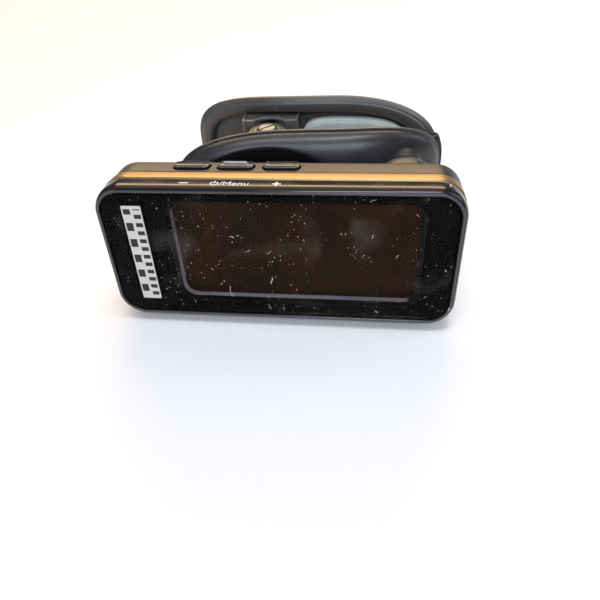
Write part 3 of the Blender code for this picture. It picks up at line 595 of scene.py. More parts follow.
def lcd_glass(tones):
    """Unlit liquid crystal panel under its polariser: brown-black, with warm clouds and a faint grid."""
    finish, tree, shader, place = blank("Polarised LCD glass", Roughness=0.18, Specular_IOR_Level=0.12)
    cloud = add(tree, "TexNoise", {"Vector": place, "Scale": per(13.0), "Detail": 3.0, "Distortion": 0.6})
    warm = add(tree, "MapRange", {"Value": cloud.outputs["Fac"], "From Min": 0.35, "From Max": 0.68})
    tone = add(
        tree, "Mix",
        {0: warm.outputs["Result"], 6: tuple(tones.screen), 7: linear("#48280A")}, data_type="RGBA",
    )
    # The cells are 0.3 mm apart, drawn at 0.9 mm so that they show.
    grid = add(tree, "TexBrick", {
        "Vector": add(
            tree, "Mapping", {"Vector": place, "Rotation": (math.pi / 2, 0.0, 0.0)}
        ).outputs["Vector"],
        "Scale": per(0.9), "Mortar Size": 0.03, "Brick Width": 1.0, "Row Height": 1.0, "Mortar Smooth": 0.3,
        "Color1": (1, 1, 1, 1), "Color2": (0.97, 0.97, 0.97, 1), "Mortar": (0.9, 0.9, 0.9, 1),
    }, offset=0.0)
    both = add(
        tree, "Mix", {0: 1.0, 6: tone.outputs[2], 7: grid.outputs["Color"]},
        data_type="RGBA", blend_type="MULTIPLY",
    )
    feed(tree, shader, Base_Color=both.outputs[2])
    return finish


def strobe_label(tones):
    """Printed label: off-white ink with two rows of strobe bars, the second twice as fine as the first."""
    finish, tree, shader, place = blank("Printed polyester label", Roughness=0.42)
    box_low, box_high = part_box("label_plate")
    split = add(tree, "SeparateXYZ", {"Vector": place})
    across = add(
        tree, "MapRange",
        {"Value": split.outputs["X"], "From Min": box_low.x, "From Max": box_high.x, "To Max": 2.0},
        clamp=False,
    )
    up = add(
        tree, "MapRange",
        {"Value": split.outputs["Z"], "From Min": box_low.z, "From Max": box_high.z, "To Max": 1.0},
        clamp=False,
    )
    row = add(tree, "Math", {0: across.outputs["Result"]}, operation="FLOOR")
    fold = add(tree, "Math", {0: 2.0, 1: row.outputs[0]}, operation="POWER")
    count = add(tree, "Math", {0: fold.outputs[0], 1: 6.0}, operation="MULTIPLY")
    phase = add(tree, "Math", {0: up.outputs["Result"], 1: count.outputs[0]}, operation="MULTIPLY")
    part = add(tree, "Math", {0: phase.outputs[0]}, operation="FRACT")
    lane = add(tree, "Math", {0: across.outputs["Result"]}, operation="FRACT")
    middle = add(tree, "Math", {0: up.outputs["Result"], 1: 0.5}, operation="SUBTRACT")
    end = add(tree, "Math", {0: middle.outputs[0]}, operation="ABSOLUTE")
    # Half of each pitch is bar, with margins beside the rows and at their ends.
    mask = 1.0
    for value, limit, side in (
        (part, 0.5, "GREATER_THAN"), (lane, 0.14, "GREATER_THAN"), (lane, 0.86, "LESS_THAN"),
        (end, 0.47, "LESS_THAN"),
    ):
        test = add(tree, "Math", {0: value.outputs[0], 1: limit}, operation=side)
        mask = add(tree, "Math", {0: mask, 1: test.outputs[0]}, operation="MULTIPLY").outputs[0]
    grain = add(tree, "TexNoise", {"Vector": place, "Scale": per(0.5), "Detail": 2.0})
    paper = add(
        tree, "Mix",
        {0: grain.outputs["Fac"], 6: shade(tones.print_white, 0.9), 7: tuple(tones.print_white)},
        data_type="RGBA",
    )
    tone = add(tree, "Mix", {0: mask, 6: paper.outputs[2], 7: linear("#141312")}, data_type="RGBA")
    feed(tree, shader, Base_Color=tone.outputs[2])
    return finish


def white_ink(tones):
    """Pad-printed white ink of the button marks: matt, with small thin spots."""
    tone = shade(tones.print_white, 0.85), shade(tones.print_white, 1.15)
    return mottled("Pad-printed white ink", *tone, 0.25, Roughness=0.5)


def rubber(name, tone, rough, bloom):
    """Moulded rubber: soft broad light, a pale bloom in patches and a fine matt grain."""
    finish, tree, shader, place = blank(name, Sheen_Weight=0.15, Sheen_Roughness=0.5, Specular_IOR_Level=0.4)
    patch = add(tree, "TexNoise", {"Vector": place, "Scale": per(5.0), "Detail": 4.0, "Roughness": 0.6})
    grain = add(tree, "TexNoise", {"Vector": place, "Scale": per(0.2), "Detail": 2.0})
    tinged = add(
        tree, "Mix", {0: patch.outputs["Fac"], 6: shade(tone, 0.9), 7: shade(tone, 1 + bloom)},
        data_type="RGBA"
    )
    settled = dust(tree, place, 0.09, 1.3, 0.6)
    full = add(tree, "Mix", {0: settled, 6: tinged.outputs[2], 7: linear("#8E8A84")}, data_type="RGBA")
    gloss = add(tree, "MapRange",
                {"Value": patch.outputs["Fac"], "To Min": rough - 0.08, "To Max": rough + 0.1})
    bump = add(tree, "Bump", {"Height": grain.outputs["Fac"], "Distance": 0.015 * MM, "Strength": 0.5})
    feed(
        tree, shader, Base_Color=full.outputs[2], Roughness=gloss.outputs["Result"],
        Normal=bump.outputs["Normal"],
    )
    return finish


def pad_rubber(tones):
    """Grey-green silicone of the pads: pale and smooth, with a slight bloom."""
    return rubber("Moulded silicone pad", tones.pad, 0.5, 0.25)


def lip_rubber(tones):
    """Black natural rubber of the jaw tips: matt, darker than the plastic beside it."""
    return rubber("Moulded rubber lip", tones.lip, 0.55, 0.6)


def metal(name, tone, rough, cloud, scratch):
    """Plated or drawn metal: mirror-like, with clouds in its gloss and fine turned scratches."""
    finish, tree, shader, place = blank(name, Metallic=1.0)
    patch = add(tree, "TexNoise", {"Vector": place, "Scale": per(cloud), "Detail": 4.0})
    fine = add(tree, "TexNoise", {"Vector": place, "Scale": per(scratch), "Detail": 3.0, "Roughness": 0.7})
    tinged = add(
        tree, "Mix", {0: patch.outputs["Fac"], 6: shade(tone, 0.7), 7: shade(tone, 1.1)}, data_type="RGBA"
    )
    gloss = add(
        tree, "MapRange",
        {"Value": patch.outputs["Fac"], "From Min": 0.3, "From Max": 0.7, "To Min": rough,
         "To Max": rough + 0.16},
    )
    bump = add(tree, "Bump", {"Height": fine.outputs["Fac"], "Distance": 0.01 * MM, "Strength": 0.35})
    feed(
        tree, shader, Base_Color=tinged.outputs[2], Roughness=gloss.outputs["Result"],
        Normal=bump.outputs["Normal"],
    )
    return finish


def nickel_steel(tones):
    """Nickel-plated steel of the pin, ball and screws: bright and slightly warm, dulled in patches."""
    return metal("Nickel-plated steel", tones.steel, 0.26, 1.6, 0.18)


def spring_steel(tones):
    """Drawn music wire: grey steel with an oily sheen."""
    return metal("Drawn spring steel", shade(tones.steel, 0.6), 0.28, 2.5, 0.1)


def stamped_brass(tones):
    """Stamped brass of the contacts and sensor: yellow, faintly clouded by handling."""
    return metal("Stamped brass", linear("#B99A54"), 0.3, 2.0, 0.15)


def nylon(tones):
    """Natural nylon of the friction cup: waxy off-white."""
    return moulded("Moulded natural nylon", linear("#A9A69B"), 0.4, 0.01, 0.45, dusty=0.1,
                   Subsurface_Weight=0.1)


def solder_mask(tones):
    """Glass-epoxy board under green solder mask: copper tracks show as paler stepped lines."""
    finish, tree, shader, place = blank("Solder-masked glass epoxy", Roughness=0.35)
    # Tracks are 0.25 mm wide on a 1.27 mm pitch.
    tracks = add(
        tree, "TexVoronoi", {"Vector": place, "Scale": per(3.2), "Randomness": 0.35},
        feature="DISTANCE_TO_EDGE", distance="CHEBYCHEV",
    )
    line = add(tree, "MapRange", {"Value": tracks.outputs["Distance"], "From Min": 0.06, "From Max": 0.03})
    tone = add(
        tree, "Mix", {0: line.outputs["Result"], 6: linear("#0C3A1E"), 7: linear("#2C6A38")}, data_type="RGBA"
    )
    feed(tree, shader, Base_Color=tone.outputs[2])
    return finish


def chip_epoxy(tones):
    """Moulded epoxy of the chip and switches: matt charcoal."""
    return moulded("Moulded epoxy", linear("#1A1A1B"), 0.1, 0.01, 0.6, dusty=0.1)


def light_guide(tones):
    """Frosted acrylic light guide: even white with a fine dot grain."""
    return moulded("Frosted acrylic light guide", linear("#DAD9D2"), 0.6, 0.01, 0.5, dusty=0.0)


def ground_board(tones):
    """Matt pale card on the ground: nearly white, with a very faint grain."""
    tone = shade(tones.floor, 0.97), tuple(tones.floor)
    return mottled("Matt pale card", *tone, 3.0, 5.0, Roughness=0.85, Specular_IOR_Level=0.2)


# ------------------------------------------------------------------- shapes


def size_of(name):
    """A size from the sidebar, in millimetres."""
    return getattr(bpy.context.scene.tuner_sizes, name) / MM


def finish(maker):
    """The material that a function makes, made once for all the pieces that share it."""
    if maker not in FINISHES:
        FINISHES[maker] = maker(bpy.context.scene.tuner_colours)
    return FINISHES[maker]


FINISHES = {}


def housing_grid(section, steps=28):
    """Rings of the display's outline, one for each (inset, depth) of a section."""
    width, height, corner = size_of("width"), size_of("height"), size_of("corner")
    rings = []
    for inset, y in section:
        sides = width - 2 * inset, height - 2 * inset
        flat = rounded_rectangle(*sides, corner - inset, (0.0, height / 2), steps)
        rings.append(np.insert(flat, 1, y, axis=1))
    return np.array(rings)


def lip_inset(y):
    """How far the bezel's side is drawn in at a depth: a quarter ellipse over the front lip."""
    near = np.clip((LIP_RUN - np.asarray(y, float)) / LIP_RUN, 0.0, 1.0)
    return LIP_RISE * (1 - np.sqrt(1 - near ** 2))


def on_top(points, height):
    """Marks drawn in x and y, with their level in z, laid on the bezel's top wall where it curves forward."""
    points = np.array(points, float)
    points[..., 2] += height - lip_inset(points[..., 1])
    return points


def signed_power(values, power):
    """Values raised to a power with their signs kept, which turns a circle into a superellipse."""
    return np.sign(values) * np.abs(values) ** power


def rim_offset(x):
    """A jaw rim's distance from the clip's middle plane: bowed at the jaws and splayed at the handles."""
    return 8.6 + 0.1 * (np.sqrt(x * x + 36.0) - x) - 7.5 * (np.maximum(x - 18.0, 0.0) / 30.5) ** 2


def jaw_outline(inset, count=240):
    """Superellipse of a jaw at an inset, with points evenly along it that mirror about mid height."""
    half_length, half_height = size_of("jaw_length") / 2 - inset, size_of("jaw_height") / 2 - inset
    angle = np.linspace(0.0, math.pi, 2401)
    x = JAW_CX + half_length * signed_power(np.cos(angle), 2 / JAW_POWER)
    z = half_height * np.sin(angle) ** (2 / JAW_POWER)
    run = np.concatenate([[0.0], np.cumsum(np.hypot(np.diff(x), np.diff(z)))])
    even = np.linspace(0.0, run[-1], count // 2 + 1)
    x, z = np.interp(even, run, x), np.interp(even, run, z)
    z[0] = z[-1] = 0.0
    return np.concatenate([x, x[-2:0:-1]]), size_of("jaw_height") / 2 + np.concatenate([z, -z[-2:0:-1]])


def jaw_grid(side, levels):
    """Rings of a jaw, one for each (inset, depth); a depth is counted outwards from the rim."""
    rings = []
    for inset, depth in levels:
        x, z = jaw_outline(inset)
        away = depth(x, z) if callable(depth) else depth + 0 * x
        rings.append(np.stack([x, side * (rim_offset(x) + away), z], -1))
    return np.array(rings)


def dome(x, z):
    """Depth of a cover's outside: a superellipse dome, less a shallow oval scoop with a softened edge."""
    half_length, half_height = (size_of(key) / 2 - COVER_INSET for key in ("jaw_length", "jaw_height"))
    u, v = np.abs(x - JAW_CX) / half_length, np.abs(z - size_of("jaw_height") / 2) / half_height
    radius = np.minimum((u ** JAW_POWER + v ** JAW_POWER) ** (1 / JAW_POWER), 1.0)
    rise = (size_of("cover_depth") - COVER_EDGE) * (1 - radius ** DOME_POWER) ** (1 / DOME_POWER)
    level = 1 - ((x - SCOOP_X) / SCOOP_A) ** 2 - ((z - size_of("jaw_height") / 2) / SCOOP_B) ** 2
    return COVER_EDGE + rise - SCOOP_DEPTH * (level + np.sqrt(level ** 2 + 0.0009)) / 2


def cover_mesh(side):
    """Outer shell of a jaw: the dome outside, and the same dome less the wall inside."""
    half = size_of("jaw_height") / 2
    share = np.linspace(0.0, 1.0, 52)
    outer = COVER_INSET + 0.02 + (half - COVER_INSET - 0.5) * share ** 1.6
    thin = lambda x, z: dome(x, z) - COVER_WALL
    inner = [(k + COVER_WALL * 0.6, thin) for k in outer[10:-1:4][::-1] if k + COVER_WALL * 0.6 < half - 0.8]
    edge = [(COVER_INSET + COVER_WALL, COVER_EDGE), (COVER_INSET + 0.15, COVER_EDGE)]
    edge += [(COVER_INSET, COVER_EDGE + 0.12)]
    outside = [(k, lambda x, z: np.maximum(dome(x, z), COVER_EDGE + 0.2)) for k in outer]
    return grid_mesh("cover", jaw_grid(side, inner + edge + outside), "clip", strip=True)


def tray_mesh(side):
    """Inner frame of a jaw: a wide rounded rim round a shallow tray, with an even wall."""
    rim, half = size_of("rim_width"), size_of("jaw_height") / 2
    foot = rim + 0.6
    profile = [(half - 1.0, FLOOR_DEPTH), (foot, FLOOR_DEPTH), (rim, 0.5), (rim - 0.5, 0.0), (1.2, 0.0),
               (0.0, 0.9)]
    profile += [(0.0, RIM_THICK), (rim - FLOOR_THICK, RIM_THICK), (foot - 0.4, FLOOR_DEPTH + FLOOR_THICK)]
    profile += [(half - 1.0, FLOOR_DEPTH + FLOOR_THICK)]
    reach = np.array([0.3, 0.5, 0.5, 0.6, 0.8, 0.6, 0.25, 0.3, 0.3, 0.3])
    fine = filleted(profile, reach, 6)
    floor = [(k, FLOOR_DEPTH) for k in np.linspace(half - 2.0, foot + 2.0, 6)]
    back = [(k, FLOOR_DEPTH + FLOOR_THICK) for k in np.linspace(foot + 2.0, half - 2.0, 6)]
    levels = [tuple(fine[0]), *floor, *map(tuple, fine[1:-1]), *back, tuple(fine[-1])]
    crown = [(k, d - (d < 0.1) * RIM_CROWN * math.sin(math.pi * min(max((k - 0.9) / (rim - 1.4), 0.0), 1.0)))
             for k, d in levels]
    return grid_mesh("tray", jaw_grid(side, crown), "clip", strip=True)


def lug_outline(side, radius, base, steps=40):
    """A lug from the tray to a round end about the pin."""
    end = arc(radius, 0, 180, steps) if side < 0 else arc(radius, 180, 360, steps)
    foot = [(-radius, -base), (radius, -base)] if side < 0 else [(radius, base), (-radius, base)]
    return np.concatenate([foot, end])


def lug_parts(side):
    """The lugs of one frame, with the boss or the recessed plate above, and the bore through them."""
    parts = []
    for low, top in ((LUG_LOW, False), (LUG_HIGH, True)):
        if side < 0:
            parts.append(plate("lug", lug_outline(side, LUG_R, 12.6), low, low + LUG_THICK, "clip", 0.2))
            if top:
                ring = [(2.95, -0.5), (2.95, 0.35), (3.9, 0.35), (4.4, 0.0), (4.4, -0.5)]
                ring = filleted(ring, 0.15, 4, True)
                parts.append(turned("boss", ring, "clip", (0, 0, low + LUG_THICK), True, True))
            continue
        shift = -LUG_THICK - GAP if top else LUG_THICK + GAP
        foot = low + shift
        parts.append(plate("lug", lug_outline(side, LUG_R, 12.6), foot, foot + LUG_THICK, "clip", 0.2))
        hollow, edge = LUG_R + 1.0, 4.4
        start = 180 - math.degrees(math.asin(edge / hollow))
        curve = arc(hollow, start, 180 - start, 40)
        corners = filleted([(-8.0, 13.5), (-8.0, edge), tuple(curve[0])], 1.0, 5)[1:-1]
        right = filleted([tuple(curve[-1]), (8.2, edge), (8.7, 12.2)], 1.2, 6)[1:-1]
        outline = np.concatenate([[(-8.0, 13.5)], corners, curve, right, [(8.7, 12.2)]])
        base = LUG_HIGH - 0.6 if top else LUG_LOW - 1.0
        recess = (0.9, 0.7) if top else None
        parts.append(plate("plate", outline, base, base + LUG_THICK + 1.6, "clip", 0.18, 3, recess=recess))
    bore = arc(PIN_HOLE_R, 0, 360, 48)[:-1]
    return [("UNION", part) for part in parts] + [("DIFFERENCE", plate("bore", bore, 2.0, 33.5, "clip"))]


def pad_mesh(side):
    """Rubber pad proud of the rim: a superellipse, squarer at the hinge end, with a wide soft chamfer."""
    angle = np.linspace(0, 2 * math.pi, 201)[:-1]
    power = np.where(np.cos(angle) < 0, *PAD_POWERS)
    across, up = signed_power(np.cos(angle), 2 / power), signed_power(np.sin(angle), 2 / power)
    low = FLOOR_DEPTH - GAP
    profile = filleted([(9.0, low), (0.0, low), (0.0, 0.2), (1.3, -PAD_PROUD), (9.0, -PAD_PROUD)], 0.3, 6)
    extra = [(k, -PAD_PROUD) for k in (3.0, 5.0, 7.0)]
    rings = []
    for inset, depth in [*map(tuple, profile[:-1]), *extra, tuple(profile[-1])]:
        x, z = PAD_CX + (PAD_A - inset) * across, size_of("jaw_height") / 2 + (PAD_B - inset) * up
        rings.append(np.stack([x, side * (rim_offset(x) + depth), z], -1))
    return grid_mesh("pad", np.array(rings), "clip", strip=True)


def lip_mesh(side):
    """Rubber lip round a jaw's tip: a rounded four-cornered section carried along the jaw's outline."""
    outer, inner = jaw_outline(-0.9), jaw_outline(3.2)
    half = 15
    pick = np.arange(-half, half + 1)
    angle = np.linspace(0, 2 * np.pi, 41)[:-1]
    u, v = (signed_power(np.cos(angle), 0.3) + 1) / 2, (signed_power(np.sin(angle), 0.3) + 1) / 2
    shrink = np.sqrt(np.clip(1 - (np.maximum(np.abs(pick) - half + 2, 0) / 2.05) ** 2, 0.05, 1))[:, None]
    u, v = 0.5 + (u - 0.5) * shrink, 0.5 + (v - 0.5) * shrink
    ends, near = [], []
    for x, z in (outer, inner):
        x, z = x[pick], z[pick]
        ends.append(np.stack([x, side * (rim_offset(x) - GAP), z], -1))
        near.append(np.stack([x, 0 * x + side * 0.25, z], -1))
    far_side = ends[0][:, None] * (1 - u[..., None]) + ends[1][:, None] * u[..., None]
    near_side = near[0][:, None] * (1 - u[..., None]) + near[1][:, None] * u[..., None]
    return grid_mesh("lip", far_side * (1 - v[..., None]) + near_side * v[..., None], "clip")


def spring_lines():
    """Centre lines of the spring: a helix about the pin, with a leg along a tangent at each end."""
    radius = size_of("wire_radius")
    reach = float(rim_offset(np.array(LEG_X))) + FLOOR_DEPTH - radius - 2 * GAP
    leave = math.degrees(math.atan2(-reach, LEG_X) - math.acos(COIL_R / math.hypot(LEG_X, reach))) % 360
    angle = np.radians(np.linspace(-leave, leave + 360 * COIL_TURNS, 64 * COIL_TURNS))
    rise = np.linspace(COIL_LOW, COIL_HIGH, len(angle))
    coil = np.stack([COIL_R * np.cos(angle), COIL_R * np.sin(angle), rise], -1)
    share = np.linspace(0.02, 1, 24)[:, None]
    front = np.concatenate([coil, coil[-1] + (np.array((LEG_X, -reach, COIL_HIGH)) - coil[-1]) * share])
    low = COIL_LOW - 2 * radius - 0.1
    start = np.array((*coil[0][:2], low))
    rear = start + (np.array((LEG_X, reach, low)) - start) * np.linspace(0, 1, 24)[:, None]
    return front, rear


def button_mesh(name):
    """A button: a rounded cap with a slightly crowned top on a wider skirt that keeps it in the shell.

    The menu button's crown carries an oval ridge round a shallow dish.
    """
    width, depth, height = size_of("button_width"), size_of("button_depth"), size_of("height")
    skirt, top = height - WALL - GAP, height + BUTTON_PROUD
    levels = [(-0.4, skirt - 0.6), (-0.4, skirt), (0.0, skirt + 0.001)]
    turn = np.linspace(0, np.pi / 2, 8)
    levels += [(CAP_ROUND * (1 - math.cos(t)), top - CAP_ROUND + CAP_ROUND * math.sin(t)) for t in turn]
    levels += [(k, top) for k in np.linspace(0.5, 1.66, 26)]
    rings = []
    for inset, z in levels:
        flat = rounded_rectangle(width - 2 * inset, depth - 2 * inset, max(1.4 - inset, 0.08), steps=14)
        flat = np.concatenate([flat[k:k + 15] for k in (0, 15, 30, 45)])
        crown = 0.1 * (1 - (2 * flat[:, 1] / depth) ** 2) if inset > 0.4 else 0.0
        if name == "menu" and inset > 0.4:
            away = np.sqrt((flat[:, 0] / 2.9) ** 2 + (flat[:, 1] / 1.25) ** 2)
            crown = crown + RIDGE * np.exp(-((away - 0.88) / 0.13) ** 2)
            crown = crown - DISH * np.clip(1 - (away / 0.72) ** 2, 0, 1)
        x, y = flat[:, 0] + BUTTON_X[name], flat[:, 1] + BUTTON_Y
        rings.append(np.stack([x, y, z + crown + 0 * x], -1))
    return grid_mesh(name, np.array(rings), "display")


def bar(outline, thickness=0.06):
    """A printed mark: a flat outline in x and y raised by the ink's thickness over the bezel's top wall."""
    outline = np.asarray(outline, float)
    rings = np.array([np.insert(outline, 2, level, axis=1) for level in (-0.02, thickness)])
    return grid_mesh("mark", on_top(rings, size_of("height")), "display")


def word(text, size, x, y):
    """Plain lettering made a mesh and laid on the bezel's top wall, its height running back from the face."""
    curve = bpy.data.curves.new("word", "FONT")
    curve.body, curve.size, curve.extrude = text, size, 0.06
    source = bpy.data.objects.new("word", curve)
    bpy.context.scene.collection.objects.link(source)
    mesh = bpy.data.meshes.new_from_object(source.evaluated_get(bpy.context.evaluated_depsgraph_get()))
    bpy.data.objects.remove(source)
    co = np.empty(len(mesh.vertices) * 3, np.float32)
    mesh.vertices.foreach_get("co", co)
    points = co.reshape(-1, 3).astype(float) + np.array((x, y, 0.01))
    laid = moved(on_top(points, size_of("height")), "display")
    mesh.vertices.foreach_set("co", laid.astype(np.float32).ravel())
    return mesh


# ---------------------------------------------------------------- operators


class TUNER_OT_stage(bpy.types.Operator):
    """Lay the pale ground, hang the soft lights and set up the camera."""

    bl_idname = "tuner.stage"
    bl_label = "Stage"

    def execute(self, context):
        scene = context.scene
        mesh = bpy.data.meshes.new("ground")
        mesh.from_pydata([(-4, -4, 0), (4, -4, 0), (4, 4, 0), (-4, 4, 0)], [], [(0, 1, 2, 3)])
        mesh.materials.append(finish(ground_board))
        ground = bpy.data.objects.new("ground", mesh)
        scene.collection.objects.link(ground)
        world = bpy.data.worlds.new("soft_room")
        world.use_nodes = True
        world.node_tree.nodes["Background"].inputs["Color"].default_value = linear("#E4E8EE")
        world.node_tree.nodes["Background"].inputs["Strength"].default_value = 0.2
        scene.world = world
        for name, place, width, depth, power, tone in (
            ("overhead", (0.05, -0.05, 0.75), 0.4, 0.16, 3.2, "#EEF3FF"),
            ("behind", (-0.1, 0.85, 0.48), 0.9, 0.25, 6.0, "#FFD9A8"),
            ("bounce", (-0.1, 0.55, 0.75), 0.9, 0.5, 1.8, "#FFE6C8"),
            ("front", (0.12, -0.6, 0.6), 0.45, 0.2, 3.6, "#E8EEFF"),
            ("left_fill", (-0.7, -0.35, 0.5), 0.5, 0.5, 0.8, "#FFF4E6"),
            ("right_rim", (0.62, 0.25, 0.42), 0.25, 0.5, 1.2, "#DCE6FF"),
        ):
            light = bpy.data.lights.new(name, "AREA")
            light.shape, light.size, light.size_y = "RECTANGLE", width, depth
            light.energy, light.color = power, linear(tone)[:3]
            lamp = bpy.data.objects.new(name, light)
            scene.collection.objects.link(lamp)
            aim = np.array((0.0, 0.0, 0.02)) - np.array(place)
            lamp.location = place
            lamp.rotation_euler = (
                math.atan2(math.hypot(aim[0], aim[1]), -aim[2]), 0.0, math.atan2(aim[1], aim[0]) - math.pi / 2
            )
        right, down = np.array(EYE_RIGHT), np.array(EYE_DOWN)
        right /= np.linalg.norm(right)
        down -= right * (down @ right)
        down /= np.linalg.norm(down)
        axes = np.stack([right, -down, np.cross(right, -down)], 1)
        camera = bpy.data.cameras.new("eye")
        camera.lens, camera.sensor_width, camera.clip_start, camera.clip_end = EYE_LENS, 36.0, 0.01, 20.0
        eye = bpy.data.objects.new("eye", camera)
        scene.collection.objects.link(eye)
        matrix = np.eye(4)
        matrix[:3, :3], matrix[:3, 3] = axes, np.array(EYE) * MM
        eye.matrix_world = matrix.T.tolist()
        scene.camera = eye
        scene.view_settings.view_transform = "Standard"
        return {"FINISHED"}


class TUNER_OT_bezel(bpy.types.Operator):
    """Make the front ring, with its rolled lip and the ledge behind the lens."""

    bl_idname = "tuner.bezel"
    bl_label = "Front bezel"

    def execute(self, context):
        ledge = LENS_FRONT + LENS_THICK + GAP
        inside = LENS_INSET - GAP
        back = [(inside, 1.2), (inside, ledge), (3.2, ledge), (3.2, ledge + 0.8), (WALL, ledge + 0.8)]
        back = filleted([*back, (WALL, BEZEL_BACK), (0.0, BEZEL_BACK), (0.0, LIP_RUN + 0.6)], 0.18, 4)
        turn = np.linspace(0, np.pi / 2, 14)
        lip = np.stack([LIP_RISE * (1 - np.cos(turn)), LIP_RUN * (1 - np.sin(turn))], -1)
        roll = arc(inside - LIP_RISE, -90, 0, 6, (LIP_RISE, inside - LIP_RISE))
        section = np.concatenate([back, lip, roll[1:]])
        mesh = grid_mesh("bezel", housing_grid(section), "display", loop=True)
        placed("bezel", mesh, finish(bezel_abs), "display", ["front_bezel"])
        return {"FINISHED"}


class TUNER_OT_lens(bpy.types.Operator):
    """Make the lens with a polished chamfer, and the black print on its back round the window."""

    bl_idname = "tuner.lens"
    bl_label = "Lens and its print"

    def execute(self, context):
        back = LENS_FRONT + LENS_THICK
        section = filleted(
            [(LENS_INSET + 1, back), (LENS_INSET, back), (LENS_INSET, LENS_FRONT + 0.22),
             (LENS_INSET + 0.22, LENS_FRONT), (LENS_INSET + 1, LENS_FRONT)], 0.08, 3
        )
        lens = grid_mesh("lens", housing_grid(section), "display")
        placed("lens", lens, finish(acrylic_lens), "display", ["front_lens"])
        outer = housing_grid([(LENS_INSET + 0.1, 0.0)], 20)[0][:, [0, 2]]
        wide, tall = size_of("window_width") + 1.8, size_of("window_height") + 1.8
        inner = rounded_rectangle(wide, tall, WINDOW_R + 0.9, (WINDOW_X, WINDOW_Z), 20)
        rings = [np.insert(flat, 1, y, axis=1) for flat, y in
                 ((outer, back + 0.03), (outer, back + 0.1), (inner, back + 0.1), (inner, back + 0.03))]
        ink = grid_mesh("lens_print", np.array(rings), "display", loop=True)
        placed("lens_print", ink, finish(black_ink), "display")
        return {"FINISHED"}


class TUNER_OT_window(bpy.types.Operator):
    """Make the mask with its sloped window, and give the panel behind it its unlit look."""

    bl_idname = "tuner.window"
    bl_label = "Window and screen"

    def execute(self, context):
        wide, tall = size_of("window_width"), size_of("window_height")
        section = filleted([(3.0, 4.6), (3.0, 3.6), (0.5, 3.6), (0.0, 4.6)], 0.12, 4, True)
        rings = []
        for k, y in section:
            flat = rounded_rectangle(wide + 2 * k, tall + 2 * k, WINDOW_R + k, (WINDOW_X, WINDOW_Z), 20)
            rings.append(np.insert(flat, 1, y, axis=1))
        mesh = grid_mesh("window_mask", np.array(rings), "display", loop=True)
        placed("window_mask", mesh, finish(mask_abs), "display", ["lcd_bezel"])
        paint({"lcd_panel": lcd_glass, "backlight": light_guide, "lcd_connector": lip_rubber})
        return {"FINISHED"}


class TUNER_OT_marks(bpy.types.Operator):
    """Print the label's strobe bars and the minus, power, menu and plus marks over the buttons."""

    bl_idname = "tuner.marks"
    bl_label = "Label and marks"

    def execute(self, context):
        paint({"label_plate": strobe_label})
        minus = rounded_rectangle(2.1, 0.5, 0.08, (-20.8, 2.75), 3)
        arm, half = 1.0, 0.25
        corner = np.array([(arm, half), (half, half), (half, arm)])
        plus = np.concatenate([corner, corner[::-1] * (-1, 1), -corner, corner[::-1] * (1, -1)])
        ring = np.concatenate([arc(1.0, 125, 415, 40), arc(0.68, 415, 125, 40)])
        stem = rounded_rectangle(0.36, 1.15, 0.06, (-13.6, 3.25), 3)
        shapes = [bar(minus), bar(plus + np.array((0.6, 2.65))), bar(ring + np.array((-13.6, 2.6)))]
        shapes += [bar(stem), word("/Menu", 2.75, -12.5, 1.65)]
        placed("button_marks", joined("button_marks", shapes), finish(white_ink), "display")
        return {"FINISHED"}


class TUNER_OT_band(bpy.types.Operator):
    """Make the gold trim band with a bright chamfer along each edge."""

    bl_idname = "tuner.band"
    bl_label = "Trim band"

    def execute(self, context):
        back, front, inside = BAND_BACK - 0.35, BAND_FRONT + 0.35, WALL + 0.3
        section = [(inside, BAND_BACK), (0.25, BAND_BACK), (-0.15, back), (-0.15, front)]
        section = filleted([*section, (0.25, BAND_FRONT), (inside, BAND_FRONT)], 0.06, 3, True)
        mesh = grid_mesh("gold_band", housing_grid(section), "display", loop=True)
        placed("gold_band", mesh, finish(anodised_gold), "display", ["trim_band"], 25)
        return {"FINISHED"}


